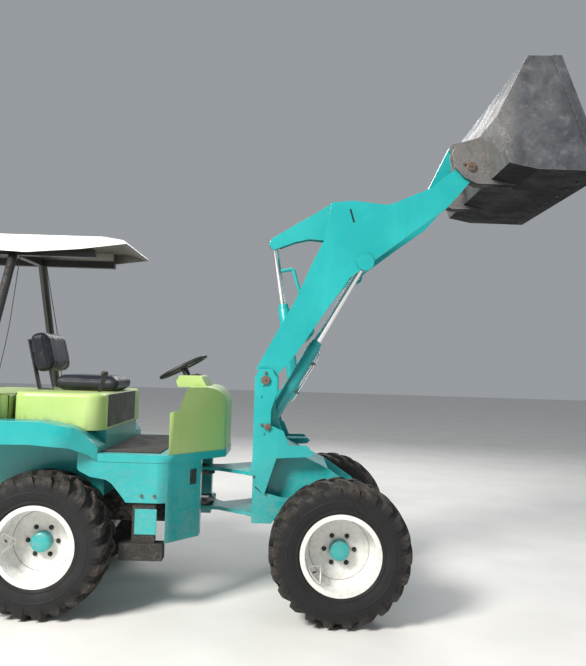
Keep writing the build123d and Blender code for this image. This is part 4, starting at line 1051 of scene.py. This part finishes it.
def body_fittings():
    """Tool boxes' plates, the front columns' slots as black plates of painted shade, the posts'
    wires and the seat's black front panel, partly painted shade.
    """
    low, high = COLUMN_SLOT_Z
    for hand, side in HANDS:
        plate = block(TOOL_BOX_X, sorted(side * out for out in TOOL_BOX_OUT), TOOL_BOX_Z)
        piece(f"tool_box_plate_{hand}", *plate, "teal_paint", "rear_frame", bevel=0.003)
        outer, inner = ((x, side * out) for x, out in COLUMN_SLOT)
        outline = [(*outer, low), (*inner, low), (*inner, high), (*outer, high)]
        # Painted shade: a thin black plate where each column's slot opens.
        slot = bent_plate(outline, (0.789, side * 0.615, 0), 0.0012)
        piece(f"column_slot_shade_{hand}", *slot, "black_paint", "rear_frame", bevel=0.0004)
        wire = [(x, side * out, z) for x, out, z in POST_WIRE]
        tube(f"post_wire_{hand}", wire, 0.0030, "engine_grey", "rear_frame")
    # Partly painted shade: a black panel over the seat cover's front face.
    panel = block(*SEAT_PANEL)
    piece("seat_front_panel_and_shade", *panel, "black_plastic", "rear_frame", bevel=0.0015)


PIPE_OFF = 0.060  # from the barrel's line
PIPE = [  # along the barrel from its base pin, off its line
    (0.200, 0.036), (0.212, PIPE_OFF), (0.330, PIPE_OFF), (0.500, PIPE_OFF), (0.600, PIPE_OFF),
    (0.612, 0.036),
]
PIPE_CLIPS = (0.290, 0.520)
CLIP_SLEEVE = [(0.009, -0.008), (0.009, 0.008)]
CLIP_FOOT = [(0.005, 0.036), (0.005, 0.062)]
TOWER_BOLTS = [(0.452, 1.470), (0.412, 1.456), (0.400, 1.382), (0.455, 1.155), (0.424, 1.138)]


def cylinder_pipes():
    """Steel pipe from each lift barrel's gland down its front, on two clips."""
    along, out = Vector((0.4858, 0, 0.8741)), Vector((0.8741, 0, -0.4858))
    for hand, side in HANDS:
        base = Vector((LIFT_BASE[0], side * BARREL_Y, LIFT_BASE[1]))
        line = [base + along * up + out * off for up, off in PIPE]
        tube(f"lift_pipe_{hand}", line, 0.0055, "rod_chrome", "lift_barrels")
        clips = []
        for up in PIPE_CLIPS:
            foot = base + along * up
            clips.append(turned(CLIP_SLEEVE, foot + out * PIPE_OFF, along, 16))
            clips.append(turned(CLIP_FOOT, foot, out, 10))
        piece(f"lift_pipe_clips_{hand}", *joined(clips), "pin_steel", "lift_barrels")


def tower_fittings():
    """Small bolts on the tower's outer plates."""
    heads = []
    for side in (-1, 1):
        for x, z in TOWER_BOLTS:
            heads.append(bolt((x, side * 0.4265, z), (0, side, 0), 0.013))
    piece("tower_bolts", *joined(heads), "teal_paint", "front_frame", bevel=FINE_EDGE)


# Operator's place

PANEL_CENTRE = (-0.084, 0, 1.49935)
PANEL_SLOPE = (0.150, 0.002)  # forward and up
PANEL_DEPTH = 0.004
GAUGE_RIM = [(0.024, 0), (0.024, 0.004), (0.0215, 0.005), (0.0215, 0.003)]
GAUGE_ARC = 0.017
KNOB = [(0.005, 0), (0.005, 0.008), (0.004, 0.010)]
PEDALS = (("brake_pedal", 0.14), ("throttle_pedal", -0.17))  # name, y
PEDAL_HALF = 0.038
PEDAL_ARM = [(0.075, 1.000), (0.05, 1.035), (0.0, 1.085), (-0.03, 1.100)]  # x, z
PEDAL_PAD = [(-0.062, 1.070), (-0.015, 1.133), (-0.024, 1.139), (-0.071, 1.076)]  # x, z


def controls():
    """Instrument panel on the pod, its gauges and switches, and the two pedals."""
    run, rise = PANEL_SLOPE
    lean = Vector((-rise, 0, run)).normalized()
    centre = Vector(PANEL_CENTRE)
    across, over = Vector((0, 1, 0)), Vector((run, 0, rise)).normalized()

    def plate(half_y, half_z, depth, y=0.0, z=0.0, lift=0.0):
        """A small plate in the panel's own plane."""
        mid = centre + across * y + over * z
        points = []
        for out in (lift - 0.001, lift + depth):
            for sy, sz in ((-1, -1), (1, -1), (1, 1), (-1, 1)):
                points.append(mid + across * half_y * sy + over * half_z * sz + lean * out)
        return points, BOX_FACES

    panel = plate(0.112, 0.030, PANEL_DEPTH)
    piece("instrument_panel", *panel, "black_plastic", "rear_frame", bevel=0.001)
    rims = []
    ticks = []
    for y in (-0.055, 0.055):
        place = centre + across * y + lean * PANEL_DEPTH
        rims.append(turned(GAUGE_RIM, place, lean, 32))
        for number in range(7):
            turn = radians(-120 + 40 * number)
            arc = across * GAUGE_ARC * sin(turn) + over * GAUGE_ARC * cos(turn)
            mid = place + arc + lean * 0.0034
            ticks.append(turned([(0.0009, 0), (0.0009, 0.0006)], mid, lean, 6))
        ticks.append(plate(0.0008, 0.0065, 0.0004, y=y, z=0.006, lift=0.0078))
    piece("gauge_rims", *joined(rims), "pin_steel", "rear_frame")
    piece("gauge_marks", *joined(ticks), "white_paint", "rear_frame")
    knobs = []
    for y in (-0.016, 0.0, 0.016):
        knobs.append(turned(KNOB, centre + across * y + lean * PANEL_DEPTH, lean, 16))
    piece("panel_switches", *joined(knobs), "black_plastic", "rear_frame")
    for name, y in PEDALS:
        arm = [(x, y, z) for x, z in PEDAL_ARM]
        tube(name + "_arm", arm, 0.007, "black_paint", "rear_frame")
        pad = slab(PEDAL_PAD, y - PEDAL_HALF, y + PEDAL_HALF)
        piece(name, *pad, "black_rubber", "rear_frame", bevel=0.003)


place_camera()
light_stage()
finish_nodes()
tyres()
wheel_fittings()
boom_fittings()
pin_fittings()
fixings()
body_fittings()
cylinder_pipes()
tower_fittings()
controls()
seat()
